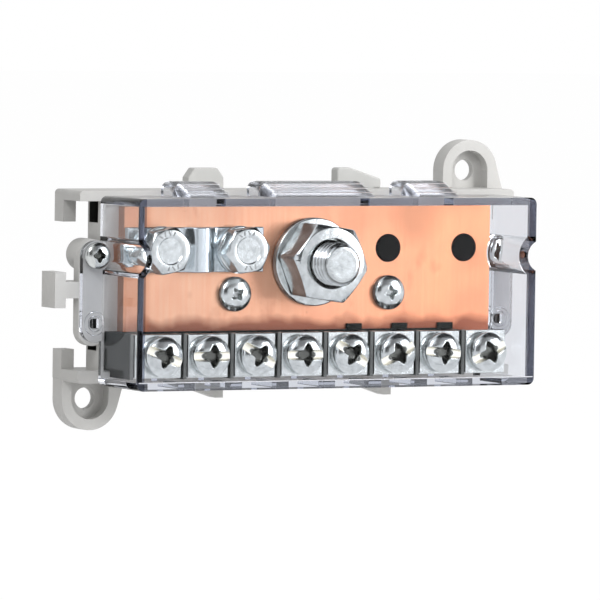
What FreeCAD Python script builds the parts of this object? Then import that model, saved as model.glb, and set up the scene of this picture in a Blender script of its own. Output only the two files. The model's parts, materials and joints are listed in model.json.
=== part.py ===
import FreeCAD, Part
import math
import os
import Sketcher

# Power distribution block: a grey base with a copper busbar, an M10 main stud, two linked M6
# positions, two plugged positions and eight wire clamps under a clear cover.
# Frame: +X to the right, the front faces -Y, +Z up. The origin is the centre of the rear
# mounting face, midway between the two screw ears. Depths are measured from the rear face
# towards the front, so a depth is minus the Y coordinate.

# Driving dimensions in millimetres, degrees where the name says so
SIZES = {
    # base
    "base_half_length": 56.5,
    "base_half_height": 22.0,
    "flange_reach": 5.5,
    "top_flange": 2.4,
    "bottom_flange": 2.9,
    "seat_depth": 12.7,
    "rim_depth": 13.3,
    "rim_wall": 2.2,
    "rail_depth": 6.2,
    "hook_depth": 4.6,
    "hook_width": 3.2,
    "hook_tip_height": 14.6,
    "top_window_length": 9.0,
    "low_window_length": 5.0,
    "window_depth": 11.5,
    "window_floor": 0.7,
    "low_window_height": 3.0,
    "body_corner": 1.0,
    # fixed tongues under the bottom flange
    "left_tongue_end": -14.8,
    "right_tongue_end": 29.3,
    "tongue_length": 12.0,
    "tongue_tip": 2.0,
    "tongue_reach": 4.4,
    "tongue_root": 1.0,
    # screw ears
    "ear_inset": 7.3,
    "ear_up": 26.1,
    "ear_radius": 7.2,
    "ear_flare": 1.8,
    "ear_depth": 4.9,
    "ear_recess_radius": 4.7,
    "ear_floor": 1.9,
    "ear_hole_radius": 2.45,
    # end lugs for the cover screws
    "lug_out": 1.9,
    "lug_radius": 3.6,
    "lug_top": 10.9,
    "lug_bottom": 13.4,
    "lug_thickness": 2.8,
    "lug_screw_up": 7.3,
    "boss_radius": 3.7,
    "boss_length": 6.8,
    # coupling tab and its slot
    "tab_out": 11.5,
    "tab_bar_width": 2.8,
    "tab_bar_half": 4.1,
    "tab_stem_half": 1.9,
    "tab_depth": 7.0,
    "tab_centre_down": 0.6,
    # copper busbar
    "bar_left_land": 0.7,
    "bar_right_inset": 2.6,
    "bar_top": 18.4,
    "bar_bottom": 19.0,
    "bar_thickness": 3.0,
    # main stud
    "stud_across": 1.5,
    "stud_up": 5.6,
    "stud_radius": 5.0,
    "stud_end_chamfer": 0.9,
    "stud_room": 0.4,
    "stud_head_flats": 16.0,
    "stud_head_height": 4.4,
    "stud_washer_radius": 10.2,
    "stud_washer_thickness": 2.0,
    "stud_nut_flats": 17.0,
    "stud_nut_height": 8.4,
    "stud_nut_turn_degrees": -8.6,
    # M6 positions
    "hole_end_room": 13.6,
    "hole_up": 8.6,
    "hole_radius": 3.3,
    "plug_proud": 0.4,
    "plug_past": 1.0,
    "plug_chamfer": 0.5,
    # link strap and its bolts
    "strap_width": 10.3,
    "strap_thickness": 1.8,
    "strap_end": 6.6,
    "strap_washer_room": 1.6,
    "strap_crown_run": 1.1,
    "strap_crown_rise": 2.2,
    "strap_bend": 0.7,
    "link_bolt_radius": 3.0,
    "link_bolt_flats": 10.0,
    "link_bolt_head": 4.0,
    "link_bolt_past": 3.0,
    "link_bolt_chamfer": 0.6,
    "link_washer_radius": 5.5,
    "link_washer_thickness": 1.6,
    "left_bolt_turn_degrees": 12.0,
    "right_bolt_turn_degrees": 8.0,
    # busbar screws
    "bar_screw_up": -1.7,
    "bar_screw_radius": 2.0,
    "bar_screw_head_radius": 4.0,
    "bar_screw_head_height": 2.2,
    "bar_screw_length": 8.0,
    # wire clamps
    "clamp_end_room": 6.0,
    "clamp_down": 15.1,
    "clamp_gap": 1.6,
    "clamp_height": 10.0,
    "clamp_plate": 1.6,
    "clamp_lip": 1.4,
    "clamp_lip_width": 1.2,
    "clamp_rest": 0.9,
    "clamp_screw_radius": 2.5,
    "clamp_head_radius": 4.6,
    "clamp_head_height": 3.4,
    "clamp_front_room": 4.1,
    "screw_end_clear": 0.5,
    "hole_floor": 0.5,
    # recesses in screw heads
    "slot_width": 1.3,
    "slot_depth": 1.5,
    "cross_half": 2.1,
    "cross_width": 1.5,
    "cross_depth": 2.2,
    "small_cross_half": 1.3,
    "small_cross_width": 0.9,
    "small_cross_depth": 1.4,
    "screw_end_chamfer": 0.5,
    # barrier comb
    "comb_wall": 0.8,
    "comb_wall_past": 0.3,
    "comb_strip_height": 0.8,
    "comb_strip_depth": 0.6,
    "comb_tab_width": 3.9,
    "comb_tab_rise": 2.1,
    "comb_tab_shift": 0.7,
    # clear cover
    "cover_over": 0.3,
    "cover_top": 20.9,
    "cover_bottom": 22.6,
    "cover_front_depth": 33.5,
    "cover_wall": 1.8,
    "cover_corner": 1.6,
    "groove_radius": 3.7,
    "cover_lug_thickness": 1.6,
    "cover_lug_radius": 3.4,
    "cover_lug_bottom": 12.6,
    "cover_slot_width": 1.5,
    "cover_slot_height": 2.2,
    "cover_slot_down": 8.2,
    "hood_rise": 3.3,
    "hood_ledge": 4.6,
    "hood_depth": 13.0,
    "hood_round": 2.0,
    "middle_hood_half": 14.0,
    "side_hood_half": 6.4,
    "side_hood_across": 29.6,
    "notch_land": 4.3,
    "notch_depth": 10.5,
    # cover screws
    "cover_screw_radius": 1.5,
    "cover_screw_head_radius": 3.1,
    "cover_screw_head_height": 1.9,
    "cover_screw_length": 7.6,
    # rail latches
    "latch_across": 20.0,
    "left_latch_half": 4.6,
    "right_latch_half": 5.8,
    "latch_stem_width": 8.2,
    "latch_depth": 3.2,
    "latch_back": 1.2,
    "latch_proud": 4.8,
    "latch_shoulder": 2.6,
    "latch_lean": 1.6,
    "right_latch_shoulder": 2.2,
    "right_latch_slope": 8.0,
    "latch_round": 0.8,
    # clearances
    "slide_gap": 0.25,
    "thread_gap": 0.05,
    "hole_gap": 0.25,
    "seat_gap": 0.3,
}

# Turn of each terminal screw's slot, counter-clockwise from level, from left to right
SLOT_TURNS = (-22.0, 0.0, -31.0, 0.0, -33.0, 27.0, -6.0, 25.0)
CLAMP_COUNT = len(SLOT_TURNS)
# Terminals to whose right a tab of the barrier comb stands up, counted from the left
TABBED_CLAMPS = range(CLAMP_COUNT - 3, CLAMP_COUNT)
# Pitches from the first M6 position to the last, with the stud in the middle
HOLE_SPACES = 4
# Outline of a pan head: shares of its radius and of its height, from the face outwards
PAN_CURVE = ((0.72, 1.0), (0.9, 0.82), (1.0, 0.5))
# Radius of the turned face of a nut and of a bolt head, as shares of the width across flats
NUT_FACE = 0.485
BOLT_FACE = 0.475
# How far a cutting sketch reaches past the solid, and how near two edges count as one place
PAST = 1.0
CLOSE = 0.01

doc = FreeCAD.newDocument("power_distribution_block")
sheet = doc.addObject("Spreadsheet::Sheet", "Sizes")
for row, (alias, number) in enumerate(SIZES.items(), start=1):
    sheet.set("A%d" % row, alias.replace("_", " "))
    sheet.set("B%d" % row, str(number))
    sheet.setAlias("B%d" % row, alias)
doc.recompute()


class Size:
    """A length that knows its number and its expression in the sheet."""

    def __init__(self, number, text):
        self.number = number
        self.text = text

    def __add__(self, other):
        other = sized(other)
        return Size(self.number + other.number, "(%s + %s)" % (self.text, other.text))

    def __sub__(self, other):
        other = sized(other)
        return Size(self.number - other.number, "(%s - %s)" % (self.text, other.text))

    def __mul__(self, factor):
        return Size(self.number * factor, "(%s * %.9g)" % (self.text, factor))

    def __truediv__(self, divisor):
        return self * (1.0 / divisor)

    def __neg__(self):
        return self * -1.0

    def __radd__(self, other):
        return sized(other) + self

    def __rsub__(self, other):
        return sized(other) - self

    def __rmul__(self, factor):
        return self * factor


def sized(value):
    """Give a plain number the same form as a sheet value."""
    if isinstance(value, Size):
        return value
    return Size(float(value), "%.9g" % value)


def size(alias):
    return Size(SIZES[alias], "Sizes." + alias)


def bind(thing, field, value):
    thing.setExpression(field, sized(value).text)


# Bodies, sketches and features

def new_body(label):
    body = doc.addObject("PartDesign::Body", label)
    body.Label = label
    return body


def place(body, across=0.0, depth=0.0, up=0.0, turn_degrees=0.0):
    """Set a body down with its own origin at this place, turned about its front axis."""
    spin = FreeCAD.Rotation(FreeCAD.Vector(0, -1, 0), turn_degrees)
    body.Placement = FreeCAD.Placement(FreeCAD.Vector(), spin)
    bind(body, "Placement.Base.x", across)
    bind(body, "Placement.Base.y", -sized(depth))
    bind(body, "Placement.Base.z", up)


def new_sketch(body, name, level=0.0, plane="XZ_Plane"):
    """A sketch on one of the body's own planes. On the XZ plane the level is the depth."""
    sketch = body.newObject("Sketcher::SketchObject", name)
    origin = [f for f in body.Origin.OriginFeatures if f.Role == plane][0]
    sketch.AttachmentSupport = [(origin, "")]
    sketch.MapMode = "FlatFace"
    bind(sketch, "AttachmentOffset.Base.z", level)
    return sketch


def fix_point(sketch, geometry, end, across, up):
    for kind, want in (("DistanceX", sized(across)), ("DistanceY", sized(up))):
        index = sketch.addConstraint(Sketcher.Constraint(kind, -1, 1, geometry, end, want.number))
        bind(sketch, "Constraints[%d]" % index, want)


def draw_polygon(sketch, corners):
    """Straight edges through the corners, each corner held by its two distances."""
    spots = [(sized(a), sized(b)) for a, b in corners]
    vectors = [FreeCAD.Vector(a.number, b.number, 0) for a, b in spots]
    first = sketch.GeometryCount
    count = len(spots)
    for k in range(count):
        sketch.addGeometry(Part.LineSegment(vectors[k], vectors[(k + 1) % count]))
    for k in range(count):
        following = first + (k + 1) % count
        sketch.addConstraint(Sketcher.Constraint("Coincident", first + k, 2, following, 1))
        fix_point(sketch, first + k, 1, *spots[k])


def draw_rectangle(sketch, left, right, low, high):
    draw_polygon(sketch, [(left, low), (right, low), (right, high), (left, high)])


def draw_circle(sketch, across, up, radius):
    across, up, radius = sized(across), sized(up), sized(radius)
    centre = FreeCAD.Vector(across.number, up.number, 0)
    index = sketch.addGeometry(Part.Circle(centre, FreeCAD.Vector(0, 0, 1), radius.number))
    fix_point(sketch, index, 3, across, up)
    limit = sketch.addConstraint(Sketcher.Constraint("Radius", index, radius.number))
    bind(sketch, "Constraints[%d]" % limit, radius)


def draw_obround(sketch, across, low, high, radius):
    """An upright slot shape: low and high are the centres of its round ends."""
    across, low, high, radius = sized(across), sized(low), sized(high), sized(radius)
    normal = FreeCAD.Vector(0, 0, 1)
    top_circle = Part.Circle(FreeCAD.Vector(across.number, high.number, 0), normal, radius.number)
    low_circle = Part.Circle(FreeCAD.Vector(across.number, low.number, 0), normal, radius.number)
    top = sketch.addGeometry(Part.ArcOfCircle(top_circle, 0, math.pi))
    bottom = sketch.addGeometry(Part.ArcOfCircle(low_circle, math.pi, 2 * math.pi))
    sides = []
    for side in (-1, 1):
        x = across.number + side * radius.number
        start = FreeCAD.Vector(x, high.number, 0)
        end = FreeCAD.Vector(x, low.number, 0)
        sides.append(sketch.addGeometry(Part.LineSegment(start, end)))
    left, right = sides
    for arc, arc_end, side, side_end in (
        (top, 2, left, 1), (bottom, 1, left, 2), (bottom, 2, right, 2), (top, 1, right, 1)
    ):
        sketch.addConstraint(Sketcher.Constraint("Tangent", arc, arc_end, side, side_end))
    sketch.addConstraint(Sketcher.Constraint("Equal", top, bottom))
    fix_point(sketch, top, 3, across, high)
    fix_point(sketch, bottom, 3, across, low)
    limit = sketch.addConstraint(Sketcher.Constraint("Radius", top, radius.number))
    bind(sketch, "Constraints[%d]" % limit, radius)


def hexagon(flats, turn_degrees=0.0, across=0.0, up=0.0):
    """Corners of a hexagon with the given width across its flats."""
    reach = sized(flats) / math.sqrt(3.0)
    turns = [math.radians(turn_degrees + 60.0 * k) for k in range(6)]
    return [(across + reach * math.cos(a), up + reach * math.sin(a)) for a in turns]


def pad(body, sketch, length, name):
    feature = body.newObject("PartDesign::Pad", name)
    feature.Profile = sketch
    bind(feature, "Length", length)
    sketch.Visibility = False
    return feature


def cut(body, sketch, length, name):
    """A pocket from the sketch's level towards the front. It has to remove something."""
    doc.recompute()
    before = body.Shape.Volume
    feature = body.newObject("PartDesign::Pocket", name)
    feature.Profile = sketch
    feature.Reversed = True
    bind(feature, "Length", length)
    doc.recompute()
    if body.Shape.Volume > before - 1e-6:
        raise RuntimeError("%s removes nothing from %s" % (name, body.Label))
    return feature


def revolve(body, sketch, name):
    feature = body.newObject("PartDesign::Revolution", name)
    feature.Profile = sketch
    feature.ReferenceAxis = (sketch, ["H_Axis"])
    feature.Angle = 360
    return feature


def groove(body, sketch, name):
    feature = body.newObject("PartDesign::Groove", name)
    feature.Profile = sketch
    feature.ReferenceAxis = (sketch, ["H_Axis"])
    feature.Angle = 360
    return feature


def round_edges(body, chosen, radius, name, kind="PartDesign::Fillet"):
    """Round or chamfer the edges of the body's last feature that the test picks."""
    doc.recompute()
    last = body.Tip
    names = ["Edge%d" % (k + 1) for k, edge in enumerate(last.Shape.Edges) if chosen(edge)]
    if not names:
        raise RuntimeError("%s finds no edge on %s" % (name, body.Label))
    feature = body.newObject(kind, name)
    feature.Base = (last, names)
    bind(feature, "Radius" if kind.endswith("Fillet") else "Size", radius)
    return feature


def straight_along(edge, axis):
    """True where a straight edge runs along the axis: 0 for X, 1 for Y, 2 for Z."""
    if len(edge.Vertexes) != 2 or edge.Curve.TypeId != "Part::GeomLine":
        return False
    step = edge.Vertexes[1].Point - edge.Vertexes[0].Point
    return abs(abs(step[axis]) - step.Length) < 1e-6


# Lengths and depths that several pieces share
half_length = size("base_half_length")
body_half = half_length - size("flange_reach")
lug_across = body_half + size("lug_out")
cover_half = body_half + size("cover_over")
bar_right = body_half - size("bar_right_inset")
rim = size("rim_depth")
seat = size("seat_depth")
bar_front = seat + size("bar_thickness")
rail = size("rail_depth")
base_top = size("base_half_height")
shift = size("stud_across")
# the wire clamps and the four M6 positions, from left to right
clamp_pitch = (body_half * 2.0 - size("clamp_end_room")) / CLAMP_COUNT
clamp_places = [clamp_pitch * (k - (CLAMP_COUNT - 1) / 2.0) for k in range(CLAMP_COUNT)]
bar_left = size("clamp_screw_radius") + size("bar_left_land") - clamp_places[0]
hole_pitch = (bar_left + bar_right - size("hole_end_room")) / HOLE_SPACES
hole_places = [shift + hole_pitch * k for k in (-2, -1, 1, 2)]
# where the terminal screws' heads and the clamp plates start, and how far they can go back
under_head = size("cover_front_depth") - size("clamp_front_room") - size("clamp_head_height")
under_plate = under_head - size("clamp_plate") - size("clamp_lip")
clamp_travel = under_plate - bar_front - size("clamp_rest")


def make_base():
    body = new_body("base")
    block = new_sketch(body, "base_block_outline")
    draw_rectangle(block, -body_half, body_half, -base_top, base_top)
    pad(body, block, rim, "base_block")
    for label, low, high in (
        ("top", base_top - size("top_flange"), base_top),
        ("bottom", -base_top, size("bottom_flange") - base_top),
    ):
        flange = new_sketch(body, "base_%s_flange_outline" % label)
        draw_rectangle(flange, -half_length, half_length, low, high)
        pad(body, flange, rim, "base_%s_flange" % label)

    # the shallow tray that locates the busbar
    tray = new_sketch(body, "base_tray_outline", seat)
    inner = body_half - size("rim_wall")
    draw_rectangle(tray, -inner, inner, -(size("bar_bottom") + size("seat_gap")),
                   size("bar_top") + size("seat_gap"))
    cut(body, tray, rim, "base_tray")

    channel = new_sketch(body, "base_rail_channel_outline")
    draw_rectangle(channel, -half_length - PAST, half_length + PAST,
                   size("bottom_flange") - base_top, base_top - size("top_flange"))
    cut(body, channel, rail, "base_rail_channel")

    # the four hooks that hold the lips of a 35 mm rail
    tip = size("hook_tip_height")
    for label, side in (("left", -1), ("right", 1)):
        outer = half_length * side
        inside = (half_length - size("hook_width")) * side
        left, right = (outer, inside) if side < 0 else (inside, outer)
        for place_name, low, high in (
            ("top", tip, base_top - size("top_flange")),
            ("bottom", size("bottom_flange") - base_top, -tip),
        ):
            hook = new_sketch(body, "base_%s_%s_hook_outline" % (label, place_name))
            draw_rectangle(hook, left, right, low, high)
            pad(body, hook, size("hook_depth"), "base_%s_%s_hook" % (label, place_name))

    # windows in the block's ends beside the hooks
    outmost = body_half + PAST
    window_start = rail + size("window_floor")
    windows = new_sketch(body, "base_windows_outline", window_start)
    for length, low, high in (
        (size("top_window_length"), tip, base_top - size("top_flange")),
        (size("low_window_length"), -tip, size("low_window_height") - tip),
    ):
        inmost = body_half - length
        draw_rectangle(windows, -outmost, -inmost, low, high)
        draw_rectangle(windows, inmost, outmost, low, high)
    cut(body, windows, size("window_depth") - window_start, "base_windows")

    # fixed tongues under the bottom flange, each deepest at its right end
    tongues = new_sketch(body, "base_tongues_outline", size("latch_back"))
    for end in (size("left_tongue_end"), size("right_tongue_end")):
        draw_polygon(tongues, [
            (end, size("bottom_flange") / 2.0 - base_top), (end, -base_top - size("tongue_reach")),
            (end - size("tongue_tip"), -base_top - size("tongue_reach")),
            (end - size("tongue_length"), -base_top - size("tongue_root")),
            (end - size("tongue_length"), size("bottom_flange") / 2.0 - base_top),
        ])
    pad(body, tongues, size("latch_depth"), "base_tongues")

    # lugs for the cover screws, each with a long boss behind it
    for label, side in (("left", -1), ("right", 1)):
        centre = lug_across * side
        radius = size("lug_radius")
        lug = new_sketch(body, "base_%s_lug_outline" % label, rim - size("lug_thickness"))
        draw_obround(lug, centre, radius - size("lug_bottom"), size("lug_top") - radius, radius)
        pad(body, lug, size("lug_thickness"), "base_%s_lug" % label)
        boss = new_sketch(body, "base_%s_boss_outline" % label, rim - size("boss_length"))
        draw_circle(boss, centre, size("lug_screw_up"), size("boss_radius"))
        pad(body, boss, size("boss_length") - size("lug_thickness") / 2.0, "base_%s_boss" % label)
        bore = new_sketch(body, "base_%s_bore_outline" % label,
                          rim + size("cover_lug_thickness") - size("cover_screw_length")
                          - size("hole_gap"))
        draw_circle(bore, centre, size("lug_screw_up"),
                    size("cover_screw_radius") + size("thread_gap"))
        cut(body, bore, size("cover_screw_length"), "base_%s_bore" % label)

    # screw ears, low on the left and high on the right
    for label, side in (("low", -1), ("high", 1)):
        across = (half_length - size("ear_inset")) * side
        up = size("ear_up") * side
        inner_end = (base_top - size("top_flange") / 2.0) * side
        ear = new_sketch(body, "base_%s_ear_outline" % label)
        draw_ear(ear, across, up, inner_end, size("ear_radius"), size("ear_flare"))
        pad(body, ear, size("ear_depth"), "base_%s_ear" % label)
        recess = new_sketch(body, "base_%s_ear_recess_outline" % label, size("ear_floor"))
        draw_ear(recess, across, up, base_top * side, size("ear_recess_radius"))
        cut(body, recess, size("ear_depth"), "base_%s_ear_recess" % label)
        hole = new_sketch(body, "base_%s_ear_hole_outline" % label)
        draw_circle(hole, across, up, size("ear_hole_radius"))
        cut(body, hole, size("ear_depth"), "base_%s_ear_hole" % label)

    # the T-shaped tab that hooks into the next block
    reach = -body_half - size("tab_out")
    middle = -size("tab_centre_down")
    bar_inner = reach + size("tab_bar_width")
    root = -lug_across
    bar_half, stem_half = size("tab_bar_half"), size("tab_stem_half")
    tab = new_sketch(body, "base_tab_outline", rim - size("tab_depth"))
    draw_polygon(tab, [
        (reach, middle - bar_half), (bar_inner, middle - bar_half),
        (bar_inner, middle - stem_half), (root, middle - stem_half),
        (root, middle + stem_half), (bar_inner, middle + stem_half),
        (bar_inner, middle + bar_half), (reach, middle + bar_half),
    ])
    pad(body, tab, size("tab_depth"), "base_tab")

    # holes behind the busbar: the stud's head, the M6 ends, the busbar screws, the clamp screws
    head = new_sketch(body, "base_stud_pocket_outline", seat - size("stud_head_height"))
    draw_polygon(head, hexagon(size("stud_head_flats") + size("hole_gap") * 2.0, 0.0,
                               shift, size("stud_up")))
    cut(body, head, rim, "base_stud_pocket")
    ends = new_sketch(body, "base_screw_ends_outline", rail + size("hole_floor"))
    for across in hole_places:
        draw_circle(ends, across, size("hole_up"), size("hole_radius") + size("hole_gap"))
    for across in clamp_places:
        draw_circle(ends, across, -size("clamp_down"), size("clamp_screw_radius") + size("hole_gap"))
    cut(body, ends, rim, "base_screw_ends")
    threads = new_sketch(body, "base_bar_screw_holes_outline",
                         bar_front - size("bar_screw_length") - size("hole_gap"))
    for side in (-1, 1):
        draw_circle(threads, shift + hole_pitch * side, size("bar_screw_up"),
                    size("bar_screw_radius") + size("thread_gap"))
    cut(body, threads, rim, "base_bar_screw_holes")

    # slots in the top flange for the rail latches
    slots = new_sketch(body, "base_latch_slots_outline", size("latch_back") - size("slide_gap"))
    for side in (-1, 1):
        centre = size("latch_across") * side
        wide = size("latch_stem_width") / 2.0 + size("slide_gap")
        draw_rectangle(slots, centre - wide, centre + wide,
                       base_top - size("top_flange") - PAST, base_top + PAST)
    cut(body, slots, size("latch_depth") + size("slide_gap") * 2.0, "base_latch_slots")

    def outer_corner(edge):
        """Edges along the depth at the block's and flanges' outer corners."""
        if not straight_along(edge, 1):
            return False
        spot = edge.CenterOfMass
        at_end = abs(abs(spot.x) - half_length.number) < CLOSE
        return at_end and abs(abs(spot.z) - SIZES["base_half_height"]) < CLOSE
    round_edges(body, outer_corner, size("body_corner"), "base_corners")
    return body


def draw_ear(sketch, across, up, inner_end, radius, flare=0.0):
    """A tongue with a round end, from inner_end to the hole at up. Its right side flares."""
    across, up, inner_end, radius = sized(across), sized(up), sized(inner_end), sized(radius)
    direction = 1 if up.number > 0 else -1
    foot = across + radius + flare
    circle = Part.Circle(FreeCAD.Vector(across.number, up.number, 0), FreeCAD.Vector(0, 0, 1),
                         radius.number)
    start, stop = (0, math.pi) if direction > 0 else (math.pi, 2 * math.pi)
    arc = sketch.addGeometry(Part.ArcOfCircle(circle, start, stop))
    left_x = across.number - radius.number
    right_top = FreeCAD.Vector(across.number + radius.number, up.number, 0)
    right_foot = FreeCAD.Vector(foot.number, inner_end.number, 0)
    left_foot = FreeCAD.Vector(left_x, inner_end.number, 0)
    right = sketch.addGeometry(Part.LineSegment(right_top, right_foot))
    level = sketch.addGeometry(Part.LineSegment(right_foot, left_foot))
    left = sketch.addGeometry(Part.LineSegment(left_foot, FreeCAD.Vector(left_x, up.number, 0)))
    right_end, left_end = (1, 2) if direction > 0 else (2, 1)
    sketch.addConstraint(Sketcher.Constraint("Tangent", arc, right_end, right, 1))
    sketch.addConstraint(Sketcher.Constraint("Tangent", arc, left_end, left, 2))
    sketch.addConstraint(Sketcher.Constraint("Coincident", right, 2, level, 1))
    sketch.addConstraint(Sketcher.Constraint("Coincident", level, 2, left, 1))
    sketch.addConstraint(Sketcher.Constraint("Vertical", left))
    sketch.addConstraint(Sketcher.Constraint("Horizontal", level))
    fix_point(sketch, arc, 3, across, up)
    fix_point(sketch, right, 2, foot, inner_end)
    limit = sketch.addConstraint(Sketcher.Constraint("Radius", arc, radius.number))
    bind(sketch, "Constraints[%d]" % limit, radius)


def make_busbar():
    body = new_body("busbar")
    outline = new_sketch(body, "busbar_outline", seat)
    draw_rectangle(outline, -bar_left, bar_right, -size("bar_bottom"), size("bar_top"))
    for across in hole_places[:2]:
        draw_circle(outline, across, size("hole_up"), size("link_bolt_radius") + size("thread_gap"))
    for across in hole_places[2:]:
        draw_circle(outline, across, size("hole_up"), size("hole_radius"))
    draw_circle(outline, shift, size("stud_up"), size("stud_radius") + size("thread_gap"))
    for side in (-1, 1):
        draw_circle(outline, shift + hole_pitch * side, size("bar_screw_up"),
                    size("bar_screw_radius") + size("hole_gap"))
    for across in clamp_places:
        draw_circle(outline, across, -size("clamp_down"),
                    size("clamp_screw_radius") + size("thread_gap"))
    pad(body, outline, size("bar_thickness"), "busbar_plate")
    return body


def ring(label, outer, inner, thickness, across, depth, up):
    """A flat washer whose rear face lies at the given depth."""
    body = new_body(label)
    outline = new_sketch(body, label + "_outline")
    draw_circle(outline, 0, 0, outer)
    draw_circle(outline, 0, 0, inner)
    pad(body, outline, thickness, label + "_plate")
    place(body, across, depth, up)
    return body


def make_stud():
    """The main stud: its hex head sits in the base and its thread stands through the busbar."""
    body = new_body("stud")
    head = new_sketch(body, "stud_head_outline")
    draw_polygon(head, hexagon(size("stud_head_flats")))
    height = size("stud_head_height")
    pad(body, head, height, "stud_head")
    radius = size("stud_radius")
    chamfer = size("stud_end_chamfer")
    end = (size("cover_front_depth") - size("cover_wall") - size("stud_room")
           - (seat - height))
    thread = new_sketch(body, "stud_thread_outline", 0.0, "YZ_Plane")
    draw_polygon(thread, [(-height / 2.0, 0), (-height / 2.0, radius), (-(end - chamfer), radius),
                          (-end, radius - chamfer), (-end, 0)])
    revolve(body, thread, "stud_thread")
    place(body, shift, seat - height, size("stud_up"))
    return body


def make_nut():
    body = new_body("stud_nut")
    flats = size("stud_nut_flats")
    height = size("stud_nut_height")
    outline = new_sketch(body, "stud_nut_outline")
    draw_polygon(outline, hexagon(flats))
    draw_circle(outline, 0, 0, size("stud_radius") + size("thread_gap"))
    pad(body, outline, height, "stud_nut_block")
    # both faces are turned down to a circle, so the corners slope back
    reach = flats / math.sqrt(3.0)
    slope = (reach - flats * NUT_FACE) * math.tan(math.radians(30))
    for label, face, inward in (("front", -height, 1.0), ("rear", sized(0.0), -1.0)):
        corner = new_sketch(body, "stud_nut_%s_slope_outline" % label, 0.0, "YZ_Plane")
        draw_polygon(corner, [(face - PAST * inward, flats * NUT_FACE), (face, flats * NUT_FACE),
                              (face + slope * inward, reach), (face - PAST * inward, reach)])
        groove(body, corner, "stud_nut_%s_slope" % label)
    place(body, shift, bar_front + size("stud_washer_thickness"), size("stud_up"),
          SIZES["stud_nut_turn_degrees"])
    return body


def hex_bolt(label, across, turn_degrees):
    """A link bolt: its shank runs through the strap and the busbar."""
    body = new_body(label)
    flats = size("link_bolt_flats")
    head_height = size("link_bolt_head")
    head = new_sketch(body, label + "_head_outline")
    draw_polygon(head, hexagon(flats))
    pad(body, head, head_height, label + "_head")
    reach = flats / math.sqrt(3.0)
    slope = (reach - flats * BOLT_FACE) * math.tan(math.radians(30))
    corner = new_sketch(body, label + "_slope_outline", 0.0, "YZ_Plane")
    draw_polygon(corner, [(-head_height - PAST, flats * BOLT_FACE),
                          (-head_height, flats * BOLT_FACE), (slope - head_height, reach),
                          (-head_height - PAST, reach)])
    groove(body, corner, label + "_slope")
    length = (size("link_washer_thickness") + size("strap_thickness") + size("bar_thickness")
              + size("link_bolt_past"))
    chamfer = size("link_bolt_chamfer")
    shank = new_sketch(body, label + "_shank_outline", 0.0, "YZ_Plane")
    radius = size("link_bolt_radius")
    draw_polygon(shank, [(-head_height / 2.0, 0), (-head_height / 2.0, radius),
                         (length - chamfer, radius), (length, radius - chamfer), (length, 0)])
    revolve(body, shank, label + "_shank")
    depth = bar_front + size("strap_thickness") + size("link_washer_thickness")
    place(body, across, depth, size("hole_up"), turn_degrees)
    return body


def make_strap():
    """The link strap: a flat strip with a raised crown between its two bolts."""
    body = new_body("link_strap")
    half_pitch = hole_pitch / 2.0
    end = half_pitch + size("strap_end")
    foot = half_pitch - size("link_washer_radius") - size("strap_washer_room")
    crown = foot - size("strap_crown_run")
    rise = size("strap_crown_rise")
    thick = size("strap_thickness")
    # the bends shift the front face outwards, so that the slopes are as thick as the rest
    slope = math.atan2(SIZES["strap_crown_rise"], SIZES["strap_crown_run"])
    shifted = thick * math.tan(slope / 2.0)
    profile = new_sketch(body, "link_strap_profile", 0.0, "XY_Plane")
    draw_polygon(profile, [
        (-end, 0), (-foot, 0), (-crown, -rise), (crown, -rise), (foot, 0), (end, 0),
        (end, -thick), (foot + shifted, -thick), (crown + shifted, -rise - thick),
        (-crown - shifted, -rise - thick), (-foot - shifted, -thick), (-end, -thick),
    ])
    pad(body, profile, size("strap_width"), "link_strap_strip")
    holes = new_sketch(body, "link_strap_holes_outline", -PAST)
    for side in (-1, 1):
        draw_circle(holes, half_pitch * side, size("strap_width") / 2.0,
                    size("link_bolt_radius") + size("hole_gap"))
    cut(body, holes, thick + PAST * 2.0, "link_strap_holes")

    def bend(edge):
        spot = edge.CenterOfMass
        return straight_along(edge, 2) and abs(spot.x) < half_pitch.number
    round_edges(body, bend, size("strap_bend"), "link_strap_bends")
    middle = (hole_places[0] + hole_places[1]) / 2.0
    place(body, middle, bar_front, size("hole_up") - size("strap_width") / 2.0)
    return body


def make_plug(label, across):
    """A black plug that closes an unused M6 hole."""
    body = new_body(label)
    outer = size("hole_radius") - size("thread_gap")
    proud = size("plug_proud")
    chamfer = size("plug_chamfer")
    stem = size("bar_thickness") + size("plug_past")
    outline = new_sketch(body, label + "_outline", 0.0, "YZ_Plane")
    draw_polygon(outline, [(stem, 0), (stem, outer - chamfer), (stem - chamfer, outer),
                           (0, outer), (-proud, outer - proud), (-proud, 0)])
    revolve(body, outline, label + "_turned")
    place(body, across, bar_front, size("hole_up"))
    return body


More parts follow.
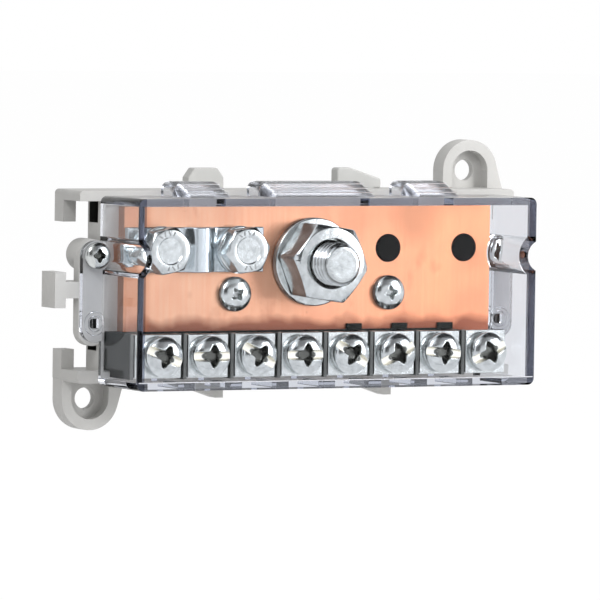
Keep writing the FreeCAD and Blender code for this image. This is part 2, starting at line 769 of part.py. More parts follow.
def pan_screw(label, radius, head_radius, head_height, length, across, depth, up, slotted,
              turn_degrees=0.0):
    """A pan head screw. Its head's underside is at the given depth, its shank points back."""
    body = new_body(label)
    crown = [(-head_height * high, head_radius * wide) for wide, high in PAN_CURVE]
    chamfer = size("screw_end_chamfer")
    profile = new_sketch(body, label + "_profile", 0.0, "YZ_Plane")
    draw_polygon(profile, [(-head_height, 0)] + crown + [
        (0, head_radius), (0, radius), (length - chamfer, radius),
        (length, radius - chamfer), (length, 0),
    ])
    revolve(body, profile, label + "_turned")
    kind = "cross" if slotted else "small_cross"
    half = size(kind + "_half")
    width = size(kind + "_width") / 2.0
    deep = size(kind + "_depth")
    cross = new_sketch(body, label + "_cross_outline", head_height - deep)
    draw_polygon(cross, [
        (-half, -width), (-width, -width), (-width, -half), (width, -half), (width, -width),
        (half, -width), (half, width), (width, width), (width, half), (-width, half),
        (-width, width), (-half, width),
    ])
    cut(body, cross, deep, label + "_cross")
    if slotted:
        slot = new_sketch(body, label + "_slot_outline", head_height - size("slot_depth"))
        end = head_radius + PAST
        draw_rectangle(slot, -end, end, -size("slot_width") / 2.0, size("slot_width") / 2.0)
        cut(body, slot, size("slot_depth"), label + "_slot")
    place(body, across, depth, up, turn_degrees)
    return body


def make_clamp_plate(label, across):
    """A square clamp plate with two lips that keep the wire under it."""
    body = new_body(label)
    half_width = (clamp_pitch - size("clamp_gap")) / 2.0
    half_height = size("clamp_height") / 2.0
    outline = new_sketch(body, label + "_outline", size("clamp_lip"))
    draw_rectangle(outline, -half_width, half_width, -half_height, half_height)
    draw_circle(outline, 0, 0, size("clamp_screw_radius") + size("hole_gap"))
    pad(body, outline, size("clamp_plate"), label + "_sheet")
    lips = new_sketch(body, label + "_lips_outline")
    lip = size("clamp_lip_width")
    draw_rectangle(lips, -half_width, lip - half_width, -half_height, half_height)
    draw_rectangle(lips, half_width - lip, half_width, -half_height, half_height)
    pad(body, lips, size("clamp_lip") + size("clamp_plate") / 2.0, label + "_lips")
    place(body, across, under_plate, -size("clamp_down"))
    return body


def make_comb():
    """The barrier comb: a strip on the busbar with a wall at the left of each clamp.

    Its foot stands in the tray beside the busbar's left end.
    """
    body = new_body("barrier_comb")
    first = clamp_pitch * (-CLAMP_COUNT / 2.0)
    last = first + clamp_pitch * (CLAMP_COUNT - 1)
    wall = size("comb_wall") / 2.0
    low = -size("clamp_down") - size("clamp_height") / 2.0 - size("seat_gap")
    strip_high = size("clamp_height") / 2.0 - size("clamp_down")
    strip_low = strip_high - size("comb_strip_height")
    strip = new_sketch(body, "comb_strip_outline", bar_front)
    draw_rectangle(strip, first - wall, last + wall, strip_low, strip_high)
    pad(body, strip, size("comb_strip_depth"), "comb_strip")
    foot = new_sketch(body, "comb_foot_outline", seat)
    draw_rectangle(foot, first - wall, -bar_left - size("seat_gap"), -size("bar_bottom"),
                   strip_high)
    pad(body, foot, bar_front - seat + size("clamp_rest") / 2.0, "comb_foot")
    tabs = new_sketch(body, "comb_tabs_outline", bar_front)
    tab = size("comb_tab_width") / 2.0
    for k in TABBED_CLAMPS:
        centre = clamp_places[k - 1] + clamp_pitch / 2.0 + size("comb_tab_shift")
        draw_rectangle(tabs, centre - tab, centre + tab, strip_low, strip_low + size("comb_tab_rise"))
    pad(body, tabs, size("comb_strip_depth"), "comb_tabs")
    partition = new_sketch(body, "comb_wall_outline", bar_front)
    draw_rectangle(partition, first - wall, first + wall, low, strip_high)
    wall_pad = pad(body, partition, under_head + size("comb_wall_past") - bar_front, "comb_wall")
    row = body.newObject("PartDesign::LinearPattern", "comb_walls")
    row.Originals = [wall_pad]
    row.Direction = (partition, ["H_Axis"])
    bind(row, "Length", clamp_pitch * (CLAMP_COUNT - 1))
    row.Occurrences = CLAMP_COUNT
    body.Tip = row
    return body


def make_cover():
    """The clear cover: a shell with a screw groove in each side and raised hoods on top."""
    body = new_body("cover")
    top = size("cover_top")
    bottom = -size("cover_bottom")
    front = size("cover_front_depth")
    wall = size("cover_wall")
    deep = front - rim
    screw_up = size("lug_screw_up")
    outline = new_sketch(body, "cover_outline", rim)
    draw_grooved_outline(outline, cover_half, bottom, top, size("groove_radius"))
    pad(body, outline, deep, "cover_block")

    # three hoods over the cable ways, level over the ledge at the rear and sloping to the front
    hoods = [("left", -size("side_hood_across"), size("side_hood_half")),
             ("middle", sized(0.0), size("middle_hood_half")),
             ("right", size("side_hood_across"), size("side_hood_half"))]
    rise = size("hood_rise")
    for label, centre, reach in hoods:
        hood = new_sketch(body, "cover_%s_hood_profile" % label, centre - reach, "YZ_Plane")
        back = -rim
        ledge = back - size("hood_ledge")
        tip = back - size("hood_depth")
        draw_polygon(hood, [(back, top - wall), (back, top + rise), (ledge, top + rise),
                            (tip, top), (tip, top - wall)])
        pad(body, hood, reach * 2.0, "cover_%s_hood" % label)

    def hood_end(edge):
        spot = edge.CenterOfMass
        level = straight_along(edge, 0) or straight_along(edge, 2)
        return spot.z > SIZES["cover_top"] + CLOSE and not level
    round_edges(body, hood_end, size("hood_round"), "cover_hood_ends")

    def long_corner(edge):
        """The four corners that run from the rim to the front."""
        spot = edge.CenterOfMass
        high = min(abs(spot.z - SIZES["cover_top"]), abs(spot.z + SIZES["cover_bottom"])) < CLOSE
        wide = abs(abs(spot.x) - cover_half.number) < CLOSE
        return straight_along(edge, 1) and high and wide
    round_edges(body, long_corner, size("cover_corner"), "cover_corners")

    # the hollow
    cavity = new_sketch(body, "cover_cavity_outline", rim)
    draw_grooved_outline(cavity, cover_half - wall, bottom + wall, top - wall,
                         size("groove_radius") + wall)
    cut(body, cavity, deep - wall, "cover_cavity")
    gap = size("seat_gap")
    room = new_sketch(body, "cover_busbar_room_outline", rim)
    draw_rectangle(room, -bar_left - gap, bar_right + gap, -size("bar_bottom") - gap,
                   size("bar_top") + gap)
    cut(body, room, bar_front + gap - rim, "cover_busbar_room")
    for label, centre, reach in hoods:
        hollow = new_sketch(body, "cover_%s_hollow_outline" % label, rim)
        draw_rectangle(hollow, centre - reach + wall, centre + reach - wall, top - wall * 1.3,
                       top + rise - wall)
        cut(body, hollow, size("hood_ledge"), "cover_%s_hollow" % label)

    # a notch in the bottom wall for each wire
    notches = new_sketch(body, "cover_notches_outline", rim)
    wide = (clamp_pitch - size("notch_land")) / 2.0
    for across in clamp_places:
        draw_rectangle(notches, across - wide, across + wide, bottom - PAST, bottom + wall * 1.1)
    cut(body, notches, size("notch_depth"), "cover_notches")

    # the flat tabs that lie on the base's lugs
    for label, side in (("left", -1), ("right", 1)):
        centre = lug_across * side
        radius = size("cover_lug_radius")
        tab = new_sketch(body, "cover_%s_tab_outline" % label, rim)
        draw_obround(tab, centre, radius - size("cover_lug_bottom"), screw_up, radius)
        pad(body, tab, size("cover_lug_thickness"), "cover_%s_tab" % label)
        hole = new_sketch(body, "cover_%s_hole_outline" % label, rim - PAST)
        draw_circle(hole, centre, screw_up, size("cover_screw_radius") + size("hole_gap"))
        slot = size("cover_slot_width") / 2.0
        slot_low = -size("cover_slot_down") - size("cover_slot_height") / 2.0
        draw_rectangle(hole, centre - slot, centre + slot, slot_low,
                       slot_low + size("cover_slot_height"))
        cut(body, hole, size("cover_lug_thickness") + PAST * 2.0, "cover_%s_hole" % label)
    return body


def draw_grooved_outline(sketch, half, low, high, radius):
    """A rectangle whose two sides curve in round the cover screws."""
    half, low, high, radius = sized(half), sized(low), sized(high), sized(radius)
    centre_x = lug_across
    up = size("lug_screw_up")
    inset = centre_x.number - half.number
    chord = math.sqrt(radius.number ** 2 - inset ** 2)
    angle = math.atan2(chord, inset)
    normal = FreeCAD.Vector(0, 0, 1)

    def spot(x, y):
        return FreeCAD.Vector(x, y, 0)
    hx, top_y, low_y, mid = half.number, high.number, low.number, up.number
    right = Part.Circle(spot(centre_x.number, mid), normal, radius.number)
    left = Part.Circle(spot(-centre_x.number, mid), normal, radius.number)
    pieces = [
        Part.LineSegment(spot(-hx, low_y), spot(hx, low_y)),
        Part.LineSegment(spot(hx, low_y), spot(hx, mid - chord)),
        Part.ArcOfCircle(right, math.pi - angle, math.pi + angle),
        Part.LineSegment(spot(hx, mid + chord), spot(hx, top_y)),
        Part.LineSegment(spot(hx, top_y), spot(-hx, top_y)),
        Part.LineSegment(spot(-hx, top_y), spot(-hx, mid + chord)),
        Part.ArcOfCircle(left, -angle, angle),
        Part.LineSegment(spot(-hx, mid - chord), spot(-hx, low_y)),
    ]
    bottom, right_low, right_arc, right_high, ceiling, left_high, left_arc, left_low = [
        sketch.addGeometry(piece) for piece in pieces]
    for one, one_end, other, other_end in (
        (bottom, 2, right_low, 1), (right_low, 2, right_arc, 2), (right_arc, 1, right_high, 1),
        (right_high, 2, ceiling, 1), (ceiling, 2, left_high, 1), (left_high, 2, left_arc, 2),
        (left_arc, 1, left_low, 1), (left_low, 2, bottom, 1),
    ):
        sketch.addConstraint(Sketcher.Constraint("Coincident", one, one_end, other, other_end))
    for line in (right_low, right_high, left_high, left_low):
        sketch.addConstraint(Sketcher.Constraint("Vertical", line))
    fix_point(sketch, bottom, 1, -half, low)
    fix_point(sketch, bottom, 2, half, low)
    fix_point(sketch, ceiling, 1, half, high)
    fix_point(sketch, ceiling, 2, -half, high)
    for arc, across in ((right_arc, centre_x), (left_arc, -centre_x)):
        fix_point(sketch, arc, 3, across, up)
        limit = sketch.addConstraint(Sketcher.Constraint("Radius", arc, radius.number))
        bind(sketch, "Constraints[%d]" % limit, radius)


def make_latch(label, across, half, left_lean, right_lean, right_shoulder):
    """A rail latch: a slider that rests on the flange and whose nose holds the rail's lip."""
    body = new_body(label)
    half = size(half)
    stem = size("latch_stem_width") / 2.0
    low = size("hook_tip_height")
    high = base_top + size("latch_proud")
    outline = new_sketch(body, label + "_outline", size("latch_back"))
    draw_polygon(outline, [
        (-stem, low), (stem, low), (stem, base_top), (half, base_top),
        (half, base_top + size(right_shoulder)), (half - right_lean, high),
        (left_lean - half, high), (-half, base_top + size("latch_shoulder")),
        (-half, base_top), (-stem, base_top),
    ])
    pad(body, outline, size("latch_depth"), label + "_slider")

    def crest(edge):
        return straight_along(edge, 1) and edge.CenterOfMass.z > high.number - CLOSE
    round_edges(body, crest, size("latch_round"), label + "_crest")
    place(body, across, 0.0, 0.0)
    return body


pieces = [make_base(), make_busbar(), make_stud(),
          ring("stud_washer", size("stud_washer_radius"), size("stud_radius") + size("hole_gap"),
               size("stud_washer_thickness"), shift, bar_front, size("stud_up")),
          make_nut(), make_strap()]
for label, across, turn in (("left", hole_places[0], SIZES["left_bolt_turn_degrees"]),
                            ("right", hole_places[1], SIZES["right_bolt_turn_degrees"])):
    pieces.append(ring("%s_link_washer" % label, size("link_washer_radius"),
                       size("link_bolt_radius") + size("hole_gap"), size("link_washer_thickness"),
                       across, bar_front + size("strap_thickness"), size("hole_up")))
    pieces.append(hex_bolt("%s_link_bolt" % label, across, turn))
pieces.append(make_plug("inner_hole_plug", hole_places[2]))
pieces.append(make_plug("outer_hole_plug", hole_places[3]))
for label, side, turn in (("left", -1, 35.0), ("right", 1, 10.0)):
    pieces.append(pan_screw("%s_busbar_screw" % label, size("bar_screw_radius"),
                            size("bar_screw_head_radius"), size("bar_screw_head_height"),
                            size("bar_screw_length"), shift + hole_pitch * side,
                            bar_front, size("bar_screw_up"), False, turn))
for label, side, turn in (("left", -1, 0.0), ("right", 1, 20.0)):
    pieces.append(pan_screw("%s_cover_screw" % label, size("cover_screw_radius"),
                            size("cover_screw_head_radius"), size("cover_screw_head_height"),
                            size("cover_screw_length"), lug_across * side,
                            rim + size("cover_lug_thickness"), size("lug_screw_up"), False, turn))
pieces.append(make_comb())
# a terminal screw still ends clear of its hole's floor when its clamp is screwed right down
screw_end = rail + size("hole_floor") + size("screw_end_clear") + clamp_travel
for k, across in enumerate(clamp_places, start=1):
    pieces.append(make_clamp_plate("clamp_plate_%d" % k, across))
    pieces.append(pan_screw("clamp_screw_%d" % k, size("clamp_screw_radius"),
                            size("clamp_head_radius"), size("clamp_head_height"),
                            under_head - screw_end, across, under_head,
                            -size("clamp_down"), True, SLOT_TURNS[k - 1]))
pieces.append(make_cover())
pieces.append(make_latch("left_rail_latch", -size("latch_across"), "left_latch_half",
                         size("latch_lean"), size("latch_lean"), "latch_shoulder"))
pieces.append(make_latch("right_rail_latch", size("latch_across"), "right_latch_half",
                         sized(0.0), size("right_latch_slope"), "right_latch_shoulder"))

doc.recompute()
for thing in doc.Objects:
    if "Invalid" in thing.State or "Error" in thing.State:
        raise RuntimeError("%s is not built: %s" % (thing.Name, thing.State))
os.makedirs("parts", exist_ok=True)
for body in pieces:
    shape = body.Shape
    if shape.isNull() or not shape.isValid() or len(shape.Solids) != 1:
        raise RuntimeError("%s has no sound solid" % body.Label)
for body in pieces:
    body.Shape.exportStep("parts/%s.step" % body.Label)
    print("%-20s %9.1f mm3" % (body.Label, body.Shape.Volume))
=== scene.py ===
import json
import math

import bmesh
import bpy
from mathutils import Matrix, Vector


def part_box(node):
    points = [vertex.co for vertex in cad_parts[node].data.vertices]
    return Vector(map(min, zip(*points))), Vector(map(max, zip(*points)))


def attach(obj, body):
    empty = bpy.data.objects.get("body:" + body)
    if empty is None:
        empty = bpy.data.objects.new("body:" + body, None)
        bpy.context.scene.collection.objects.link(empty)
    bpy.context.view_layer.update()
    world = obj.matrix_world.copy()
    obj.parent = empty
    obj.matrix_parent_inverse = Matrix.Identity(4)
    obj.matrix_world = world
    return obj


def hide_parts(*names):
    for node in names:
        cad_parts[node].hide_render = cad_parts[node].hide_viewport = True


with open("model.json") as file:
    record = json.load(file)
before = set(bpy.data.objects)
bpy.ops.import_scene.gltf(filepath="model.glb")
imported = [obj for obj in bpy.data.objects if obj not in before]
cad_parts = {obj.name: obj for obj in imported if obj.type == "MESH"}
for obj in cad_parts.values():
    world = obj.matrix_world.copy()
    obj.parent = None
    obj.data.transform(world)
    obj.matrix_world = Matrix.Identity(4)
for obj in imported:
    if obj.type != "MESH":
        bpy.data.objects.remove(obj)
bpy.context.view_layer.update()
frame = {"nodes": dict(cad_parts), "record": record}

# Power distribution block. Lengths are in metres in the frame of the part: +X to the right, the
# cover faces -Y, +Z up. A depth is measured from the rear face towards the front, so it is -Y.
MM = 0.001
CLAMPS = range(1, 9)

# Turned and hexagonal parts. A screw head's rim is a share of the head's height, and its dome
# falls to the rim by two powers of the share of its radius
DOME_POWER = 2.6
DOME_FALL = 0.55
SLOTTED_RIM = 0.54
CROSS_RIM = 0.42
HEAD_RINGS = 46
HEAD_SEGMENTS = 120
RECESS_SLOPE = 5.0
RECESS_END_SLOPE = 1.6
# Depth at which the painted shade in a recess is full
RECESS_SHADE_DEPTH = 0.45 * MM
WASHER_ROUNDING = 0.35 * MM
HEX_FACE = 0.485
HEX_CORNER = 0.988
HEX_SLOPE = math.tan(math.radians(30))
NUT_FLATS = 17.0 * MM
NUT_COUNTERSINK = 0.9 * MM
NUT_EDGE = 0.14 * MM
BOLT_FLATS = 10.0 * MM
BOLT_RADIUS = 3.0 * MM
BOLT_HEAD = 4.0 * MM
BOLT_DISH = 0.18 * MM
BOLT_RIM = 0.66
BOLT_EDGE = 0.12 * MM
STUD_RADIUS = 5.0 * MM
STUD_PITCH = 1.5 * MM
STUD_HEAD_FLATS = 16.0 * MM
STUD_HEAD = 4.4 * MM
STUD_CHAMFER = 0.9 * MM
STUD_THREAD_DEPTH = 0.88 * MM
STUD_ROWS_PER_TURN = 12
# A thread's crest and its root are flat over this share. How far behind the nut's front the cut
# thread starts, and the stud end's mottled rings, as (share of the radius, darkness)
THREAD_FLAT = 0.12
THREAD_BEHIND_NUT = 2.2 * MM
STUD_END = ((0.0, 0.05), (0.3, 0.12), (0.5, 0.04), (0.68, 0.14))

# Plain strokes on the bolt heads: the size of one, the step and tilts from one to the next, and
# the rows as (middle, count)
STROKE_SIZE = (1.05 * MM, 0.24 * MM, 0.3 * MM)
STROKE_STEP = math.radians(17)
STROKE_TILTS = (-0.3, 0.5)
STROKE_ROWS = ((math.radians(90), 4), (math.radians(270), 3))
STROKE_SHADE = 0.45

# Link strap: its crown rises over the run from each foot
STRAP_THICKNESS = 1.8 * MM
STRAP_RISE = 2.2 * MM
STRAP_FOOT = 4.2 * MM
STRAP_RUN = 3.0 * MM
STRAP_STEPS = 48
STRAP_EDGE = 0.18 * MM

# Hoods of the cover: middle and half length of each, and where the slope starts and ends as
# (depth, up). The ribs' places are shares of the slope
HOODS = ((-29.6 * MM, 5.4 * MM), (0.0, 13.0 * MM), (29.6 * MM, 5.4 * MM))
HOOD_LEDGE = (17.9 * MM, 24.2 * MM)
HOOD_TIP = (26.3 * MM, 20.9 * MM)
RIB_PLACES = (0.2, 0.48, 0.76)
RIB_RADIUS = 0.2 * MM
RIB_LIFT = 0.02 * MM

# Stains on the copper, mixed with painted shade by the bolts and washers, as (place, reach,
# strength)
COPPER_STAINS_AND_SHADE = (
    ((29 * MM, -15.7 * MM, 15.5 * MM), 8 * MM, 0.5),
    ((13 * MM, -15.7 * MM, 16 * MM), 5 * MM, 0.25),
    ((44 * MM, -15.7 * MM, 6 * MM), 5 * MM, 0.2),
    ((-12 * MM, -15.7 * MM, 5 * MM), 3 * MM, 0.35),
)

# Painted shade inside the base's end windows, as the middle and the half size of a box each
WINDOW_PAINTED_SHADE = [
    ((side * 46.4 * MM, -9.2 * MM, up), (4.6 * MM, 2.5 * MM, half))
    for side in (-1, 1) for up, half in ((17.1 * MM, 2.7 * MM), (-13.1 * MM, 1.7 * MM))
]

# The cover's end walls, seen edge-on from the front and painted slate as a dark reflection, and
# its hoods, as boxes like the above
END_WALLS = [((side * 50.4 * MM, -33.5 * MM, 0.0), (1.0 * MM, 0.6 * MM, 24 * MM))
             for side in (-1, 1)]
LOW_END_WALL = ((-51.3 * MM, -23.5 * MM, -15.7 * MM), (0.7 * MM, 9.3 * MM, 6.5 * MM))
HOOD_BOX = ((0.0, -22.0 * MM, 23.0 * MM), (60.0 * MM, 6.0 * MM, 2.2 * MM))

# Pale bead along the cover's lower front edge, where its rounding starts: a painted highlight
EDGE_LINE_UP = -20.7 * MM
EDGE_LINE_REACH = 50.9 * MM
EDGE_LINE_RADIUS = 0.13 * MM

# Slots in the cover's tabs, and the depths where the cover rests and where its tabs' fronts lie
TAB_POCKET_ACROSS = 52.9 * MM
TAB_POCKET_UP = -8.2 * MM
COVER_SEAT = 13.3 * MM
TAB_FRONT = 14.9 * MM
TAB_RIM = 0.17 * MM
TAB_RIM_RADII = (("inner", 1.75 * MM), ("outer", 2.7 * MM))
TAB_FLOOR_HALF = 1.05 * MM
TAB_FLOOR_TALL = 1.1 * MM
TAB_FLOOR_FRONT = COVER_SEAT + 0.25 * MM
TAB_FLOOR_REAR = COVER_SEAT + 0.02 * MM

# Outer face of the coupling tab, and its ribs, which start a little inside it
TAB_FACE = -62.5 * MM
TAB_DEPTHS = (6.6 * MM, 13.0 * MM)
TAB_UP = (-4.5 * MM, 3.3 * MM)
TAB_RIBS = 8
TAB_RIB_HALF = 0.25 * MM
TAB_RIB_TOP = TAB_FACE - 0.12 * MM
TAB_RIB_FOOT = TAB_FACE + 0.1 * MM

# Turns about the front axis, counter-clockwise as seen from the front
NUT_TURN = math.radians(-8.6)
LEFT_BOLT_TURN = math.radians(12.0)
RIGHT_BOLT_TURN = math.radians(8.0)
SLOT_TURNS = [math.radians(a) for a in (-22, 0, -31, 0, -33, 27, -6, 25)]
BUSBAR_SCREW_TURNS = {"left": math.radians(35), "right": math.radians(10)}
COVER_SCREW_TURNS = {"left": math.radians(0), "right": math.radians(20)}


def combine(tree, operation, first, second, clamp=False):
    """A math node on two values, each a number or another node's output."""
    node = tree.nodes.new("ShaderNodeMath")
    node.operation = operation
    node.use_clamp = clamp
    for index, value in enumerate((first, second)):
        if isinstance(value, float):
            node.inputs[index].default_value = value
        else:
            tree.links.new(value, node.inputs[index])
    return node.outputs[0]


class Surface:
    """A material that is put together node by node round one Principled shader."""

    def __init__(self, name, **constants):
        self.material = bpy.data.materials.new(name)
        self.material.use_nodes = True
        self.tree = self.material.node_tree
        self.tree.nodes.clear()
        self.shader = self.add("ShaderNodeBsdfPrincipled")
        self.output = self.add("ShaderNodeOutputMaterial")
        self.join(self.shader.outputs["BSDF"], self.output, "Surface")
        for socket, value in constants.items():
            self.shader.inputs[socket.replace("_", " ")].default_value = value
        self.place = self.add("ShaderNodeTexCoord").outputs["Object"]

    def add(self, kind, **settings):
        node = self.tree.nodes.new(kind)
        for field, value in settings.items():
            setattr(node, field, value)
        return node

    def join(self, source, node, socket):
        self.tree.links.new(source, node.inputs[socket])

    def noise(self, size, detail=3.0, stretch=(1, 1, 1), shift=0.0, distortion=0.0):
        """Cloudy noise whose blotches are about this size. Stretch makes them longer."""
        mapping = self.add("ShaderNodeMapping")
        mapping.inputs["Scale"].default_value = [1.0 / (size * s) for s in stretch]
        mapping.inputs["Location"].default_value = (shift, shift, shift)
        self.join(self.place, mapping, "Vector")
        node = self.add("ShaderNodeTexNoise")
        node.inputs["Scale"].default_value = 1.0
        node.inputs["Detail"].default_value = detail
        node.inputs["Distortion"].default_value = distortion
        self.join(mapping.outputs["Vector"], node, "Vector")
        return node.outputs["Fac"]

    def spread(self, source, low, high, new_low, new_high):
        """The source's range from low to high, mapped to a new range."""
        node = self.add("ShaderNodeMapRange")
        for socket, value in (("From Min", low), ("From Max", high), ("To Min", new_low),
                              ("To Max", new_high)):
            node.inputs[socket].default_value = value
        self.join(source, node, "Value")
        return node.outputs["Result"]

    def mix(self, amount, first, second):
        """A colour between the first and the second. Each is a colour or another mix."""
        node = self.add("ShaderNodeMix", data_type="RGBA")
        self.join(amount, node, "Factor")
        for index, value in ((6, first), (7, second)):
            if isinstance(value, tuple):
                node.inputs[index].default_value = (*value, 1.0)
            else:
                self.tree.links.new(value, node.inputs[index])
        return node.outputs[2]

    def times(self, first, second):
        return combine(self.tree, "MULTIPLY", first, second)

    def most(self, first, second):
        return combine(self.tree, "MAXIMUM", first, second)

    def less(self, first, second):
        """The first less the second, from 0 to 1."""
        return combine(self.tree, "SUBTRACT", first, second, clamp=True)

    def parts(self, vector):
        """The X, Y and Z of a vector."""
        node = self.add("ShaderNodeSeparateXYZ")
        self.join(vector, node, 0)
        return node.outputs

    def relief(self, height, distance, strength=1.0):
        node = self.add("ShaderNodeBump")
        node.inputs["Strength"].default_value = strength
        node.inputs["Distance"].default_value = distance
        self.join(height, node, "Height")
        for link in self.shader.inputs["Normal"].links:
            self.join(link.from_socket, node, "Normal")
        self.join(node.outputs["Normal"], self.shader, "Normal")

    def near(self, centre, reach):
        """1 at a point of the part and 0 beyond the reach, with a soft edge."""
        node = self.add("ShaderNodeVectorMath", operation="DISTANCE")
        self.join(self.place, node, 0)
        node.inputs[1].default_value = centre
        return self.spread(node.outputs["Value"], reach, 0.35 * reach, 0.0, 1.0)

    def within(self, middle, half):
        """1 inside a box and 0 outside."""
        offset = self.place
        for operation, value in (("SUBTRACT", middle), ("ABSOLUTE", None), ("SUBTRACT", half)):
            node = self.add("ShaderNodeVectorMath", operation=operation)
            self.join(offset, node, 0)
            if value:
                node.inputs[1].default_value = value
            offset = node.outputs[0]
        across, depth, up = self.parts(offset)
        farthest = self.most(self.most(across, depth), up)
        return self.spread(farthest, 0.0, -0.1 * MM, 0.0, 1.0)


def grey_plastic(name, tone, darker, painted_shade_boxes=()):
    """Moulded polyamide: a fine satin grain with faint flow clouds, and painted shade inside its
    windows.
    """
    surface = Surface(name, IOR=1.53)
    clouds = surface.spread(surface.noise(14 * MM, 4.0), 0.35, 0.65, 0.0, 1.0)
    colour = surface.mix(clouds, darker, tone)
    for middle, half in painted_shade_boxes:
        # Painted shade: near black inside each window box.
        colour = surface.mix(surface.within(middle, half), colour, (0.02, 0.02, 0.018))
    surface.join(colour, surface.shader, "Base Color")
    grain = surface.noise(0.22 * MM, 2.0)
    surface.join(surface.spread(grain, 0.3, 0.7, 0.36, 0.52), surface.shader, "Roughness")
    surface.relief(grain, 0.012 * MM, 0.6)
    return surface.material


def black_plastic(name, darker, tone, rough, highlight_front=None, **constants):
    """Black polyamide. Given a front depth, its faces at that depth are painted pale as a
    highlight.
    """
    surface = Surface(name, IOR=1.5, **constants)
    clouds = surface.noise(3 * MM, 3.0)
    colour = surface.mix(clouds, darker, tone)
    if highlight_front:
        depth = surface.parts(surface.place)[1]
        # Painted highlight: faces near the front depth are paler.
        painted_highlight = surface.spread(depth, 0.5 * MM - highlight_front, 0.1 * MM - highlight_front, 0.0, 0.8)
        colour = surface.mix(painted_highlight, colour, (0.17, 0.175, 0.17))
    surface.join(colour, surface.shader, "Base Color")
    grain = surface.noise(0.3 * MM, 2.0, shift=5.0)
    surface.join(surface.spread(grain, 0.3, 0.7, rough, rough * 1.6), surface.shader,
                 "Roughness")
    surface.relief(grain, 0.015 * MM, 0.6)
    return surface.material


def copper_plate():
    """Bare rolled copper with faint rolling lines, cloudy stains and rubbed spots, and painted
    shade, haze and reflection.
    """
    surface = Surface("copper_plate", Metallic=1.0)
    clouds = surface.spread(surface.noise(11 * MM, 4.0, shift=3.0), 0.35, 0.7, 0.0, 1.0)
    lines = surface.noise(0.5 * MM, 3.0, stretch=(1, 1, 40))
    across, _, up = surface.parts(surface.place)
    # Greyer towards the left: a painted haze.
    rightwards = surface.spread(across, -30 * MM, 35 * MM, 0.0, 1.0)
    light = surface.mix(rightwards, (0.71, 0.42, 0.285), (0.86, 0.36, 0.20))
    soft = surface.mix(rightwards, (0.66, 0.37, 0.25), (0.76, 0.31, 0.18))
    tone = surface.mix(clouds, light, soft)
    tone = surface.mix(surface.spread(lines, 0.42, 0.75, 0.0, 0.35), tone, (0.70, 0.28, 0.16))
    stain = surface.spread(surface.noise(5 * MM, 5.0, shift=9.0, stretch=(1, 1, 1.8)),
                           0.60, 0.78, 0.0, 0.55)
    tone = surface.mix(stain, tone, (0.42, 0.17, 0.10))
    specks = surface.spread(surface.noise(0.9 * MM, 2.0, shift=2.0), 0.72, 0.80, 0.0, 0.5)
    tone = surface.mix(specks, tone, (0.25, 0.11, 0.07))
    # A wavy dark band along the lower edge, above the clamp plates: painted shade.
    waver = surface.spread(surface.noise(7 * MM, 2.0, shift=6.0), 0.3, 0.7, -1.3 * MM, 1.3 * MM)
    height = combine(surface.tree, "ADD", up, waver)
    edge = surface.spread(height, -6.6 * MM, -9.2 * MM, 0.0, 0.85)
    tone = surface.mix(edge, tone, (0.20, 0.065, 0.045))
    # Darker at the left end: painted shade.
    end = surface.spread(across, -39.5 * MM, -41.5 * MM, 0.0, 0.5)
    tone = surface.mix(end, tone, (0.42, 0.14, 0.06))
    # Dark patches: real stains mixed with painted shade.
    for centre, reach, amount in COPPER_STAINS_AND_SHADE:
        cloud = surface.times(surface.near(centre, reach), amount)
        tone = surface.mix(cloud, tone, (0.40, 0.20, 0.12))
    # Where other metal mirrors the copper, dull grey streaks stand in for it: a painted
    # reflection.
    path = surface.add("ShaderNodeLightPath").outputs
    mirrored = surface.less(path["Is Glossy Ray"], path["Is Transmission Ray"])
    streaks = surface.spread(surface.noise(1.3 * MM, 3.0, stretch=(1, 1, 5), shift=12.0),
                             0.38, 0.62, 0.0, 1.0)
    painted_reflection_tone = surface.mix(streaks, (0.07, 0.058, 0.052), (0.36, 0.31, 0.285))
    tone = surface.mix(surface.times(mirrored, 0.75), tone, painted_reflection_tone)
    surface.join(tone, surface.shader, "Base Color")
    surface.join(surface.spread(clouds, 0.0, 1.0, 0.30, 0.42), surface.shader, "Roughness")
    surface.relief(lines, 0.006 * MM, 0.5)
    return surface.material


def zinc(name, tone, rough):
    """Bright zinc plating with a slightly uneven sheen.

    The mesh attribute recess is 1 where it is painted dark as shade and -1 on a pale slot floor.
    """
    surface = Surface(name, Metallic=1.0)
    clouds = surface.spread(surface.noise(1.6 * MM, 4.0), 0.35, 0.65, 0.0, 1.0)
    darker = tuple(0.82 * part for part in tone)
    colour = surface.mix(clouds, darker, tone)
    recess = surface.add("ShaderNodeAttribute", attribute_name="recess")
    dark = surface.spread(recess.outputs["Fac"], 0.0, 1.0, 0.0, 1.0)
    pale = surface.spread(recess.outputs["Fac"], 0.0, -1.0, 0.0, 1.0)
    # Painted shade where recess is above 0.
    colour = surface.mix(dark, colour, (0.13, 0.133, 0.124))
    colour = surface.mix(pale, colour, (0.93, 0.90, 0.80))
    surface.join(colour, surface.shader, "Base Color")
    grain = surface.noise(0.35 * MM, 4.0, shift=4.0)
    sheen = surface.spread(grain, 0.3, 0.7, rough * 0.75, rough * 1.5)
    sheen = surface.most(sheen, surface.times(pale, 0.55))
    surface.join(sheen, surface.shader, "Roughness")
    surface.relief(grain, 0.012 * MM, 0.35)
    surface.relief(surface.noise(2.4 * MM, 2.0, shift=8.0), 0.04 * MM, 0.8)
    return surface.material


def tinned_strip():
    surface = Surface("tinned_strip", Metallic=1.0)
    clouds = surface.noise(4 * MM, 3.0)
    surface.join(surface.mix(clouds, (0.62, 0.68, 0.72), (0.80, 0.85, 0.88)),
                 surface.shader, "Base Color")
    lines = surface.noise(0.3 * MM, 3.0, stretch=(1, 1, 30))
    surface.join(surface.spread(lines, 0.3, 0.7, 0.14, 0.24), surface.shader, "Roughness")
    surface.relief(lines, 0.006 * MM, 0.4)
    return surface.material


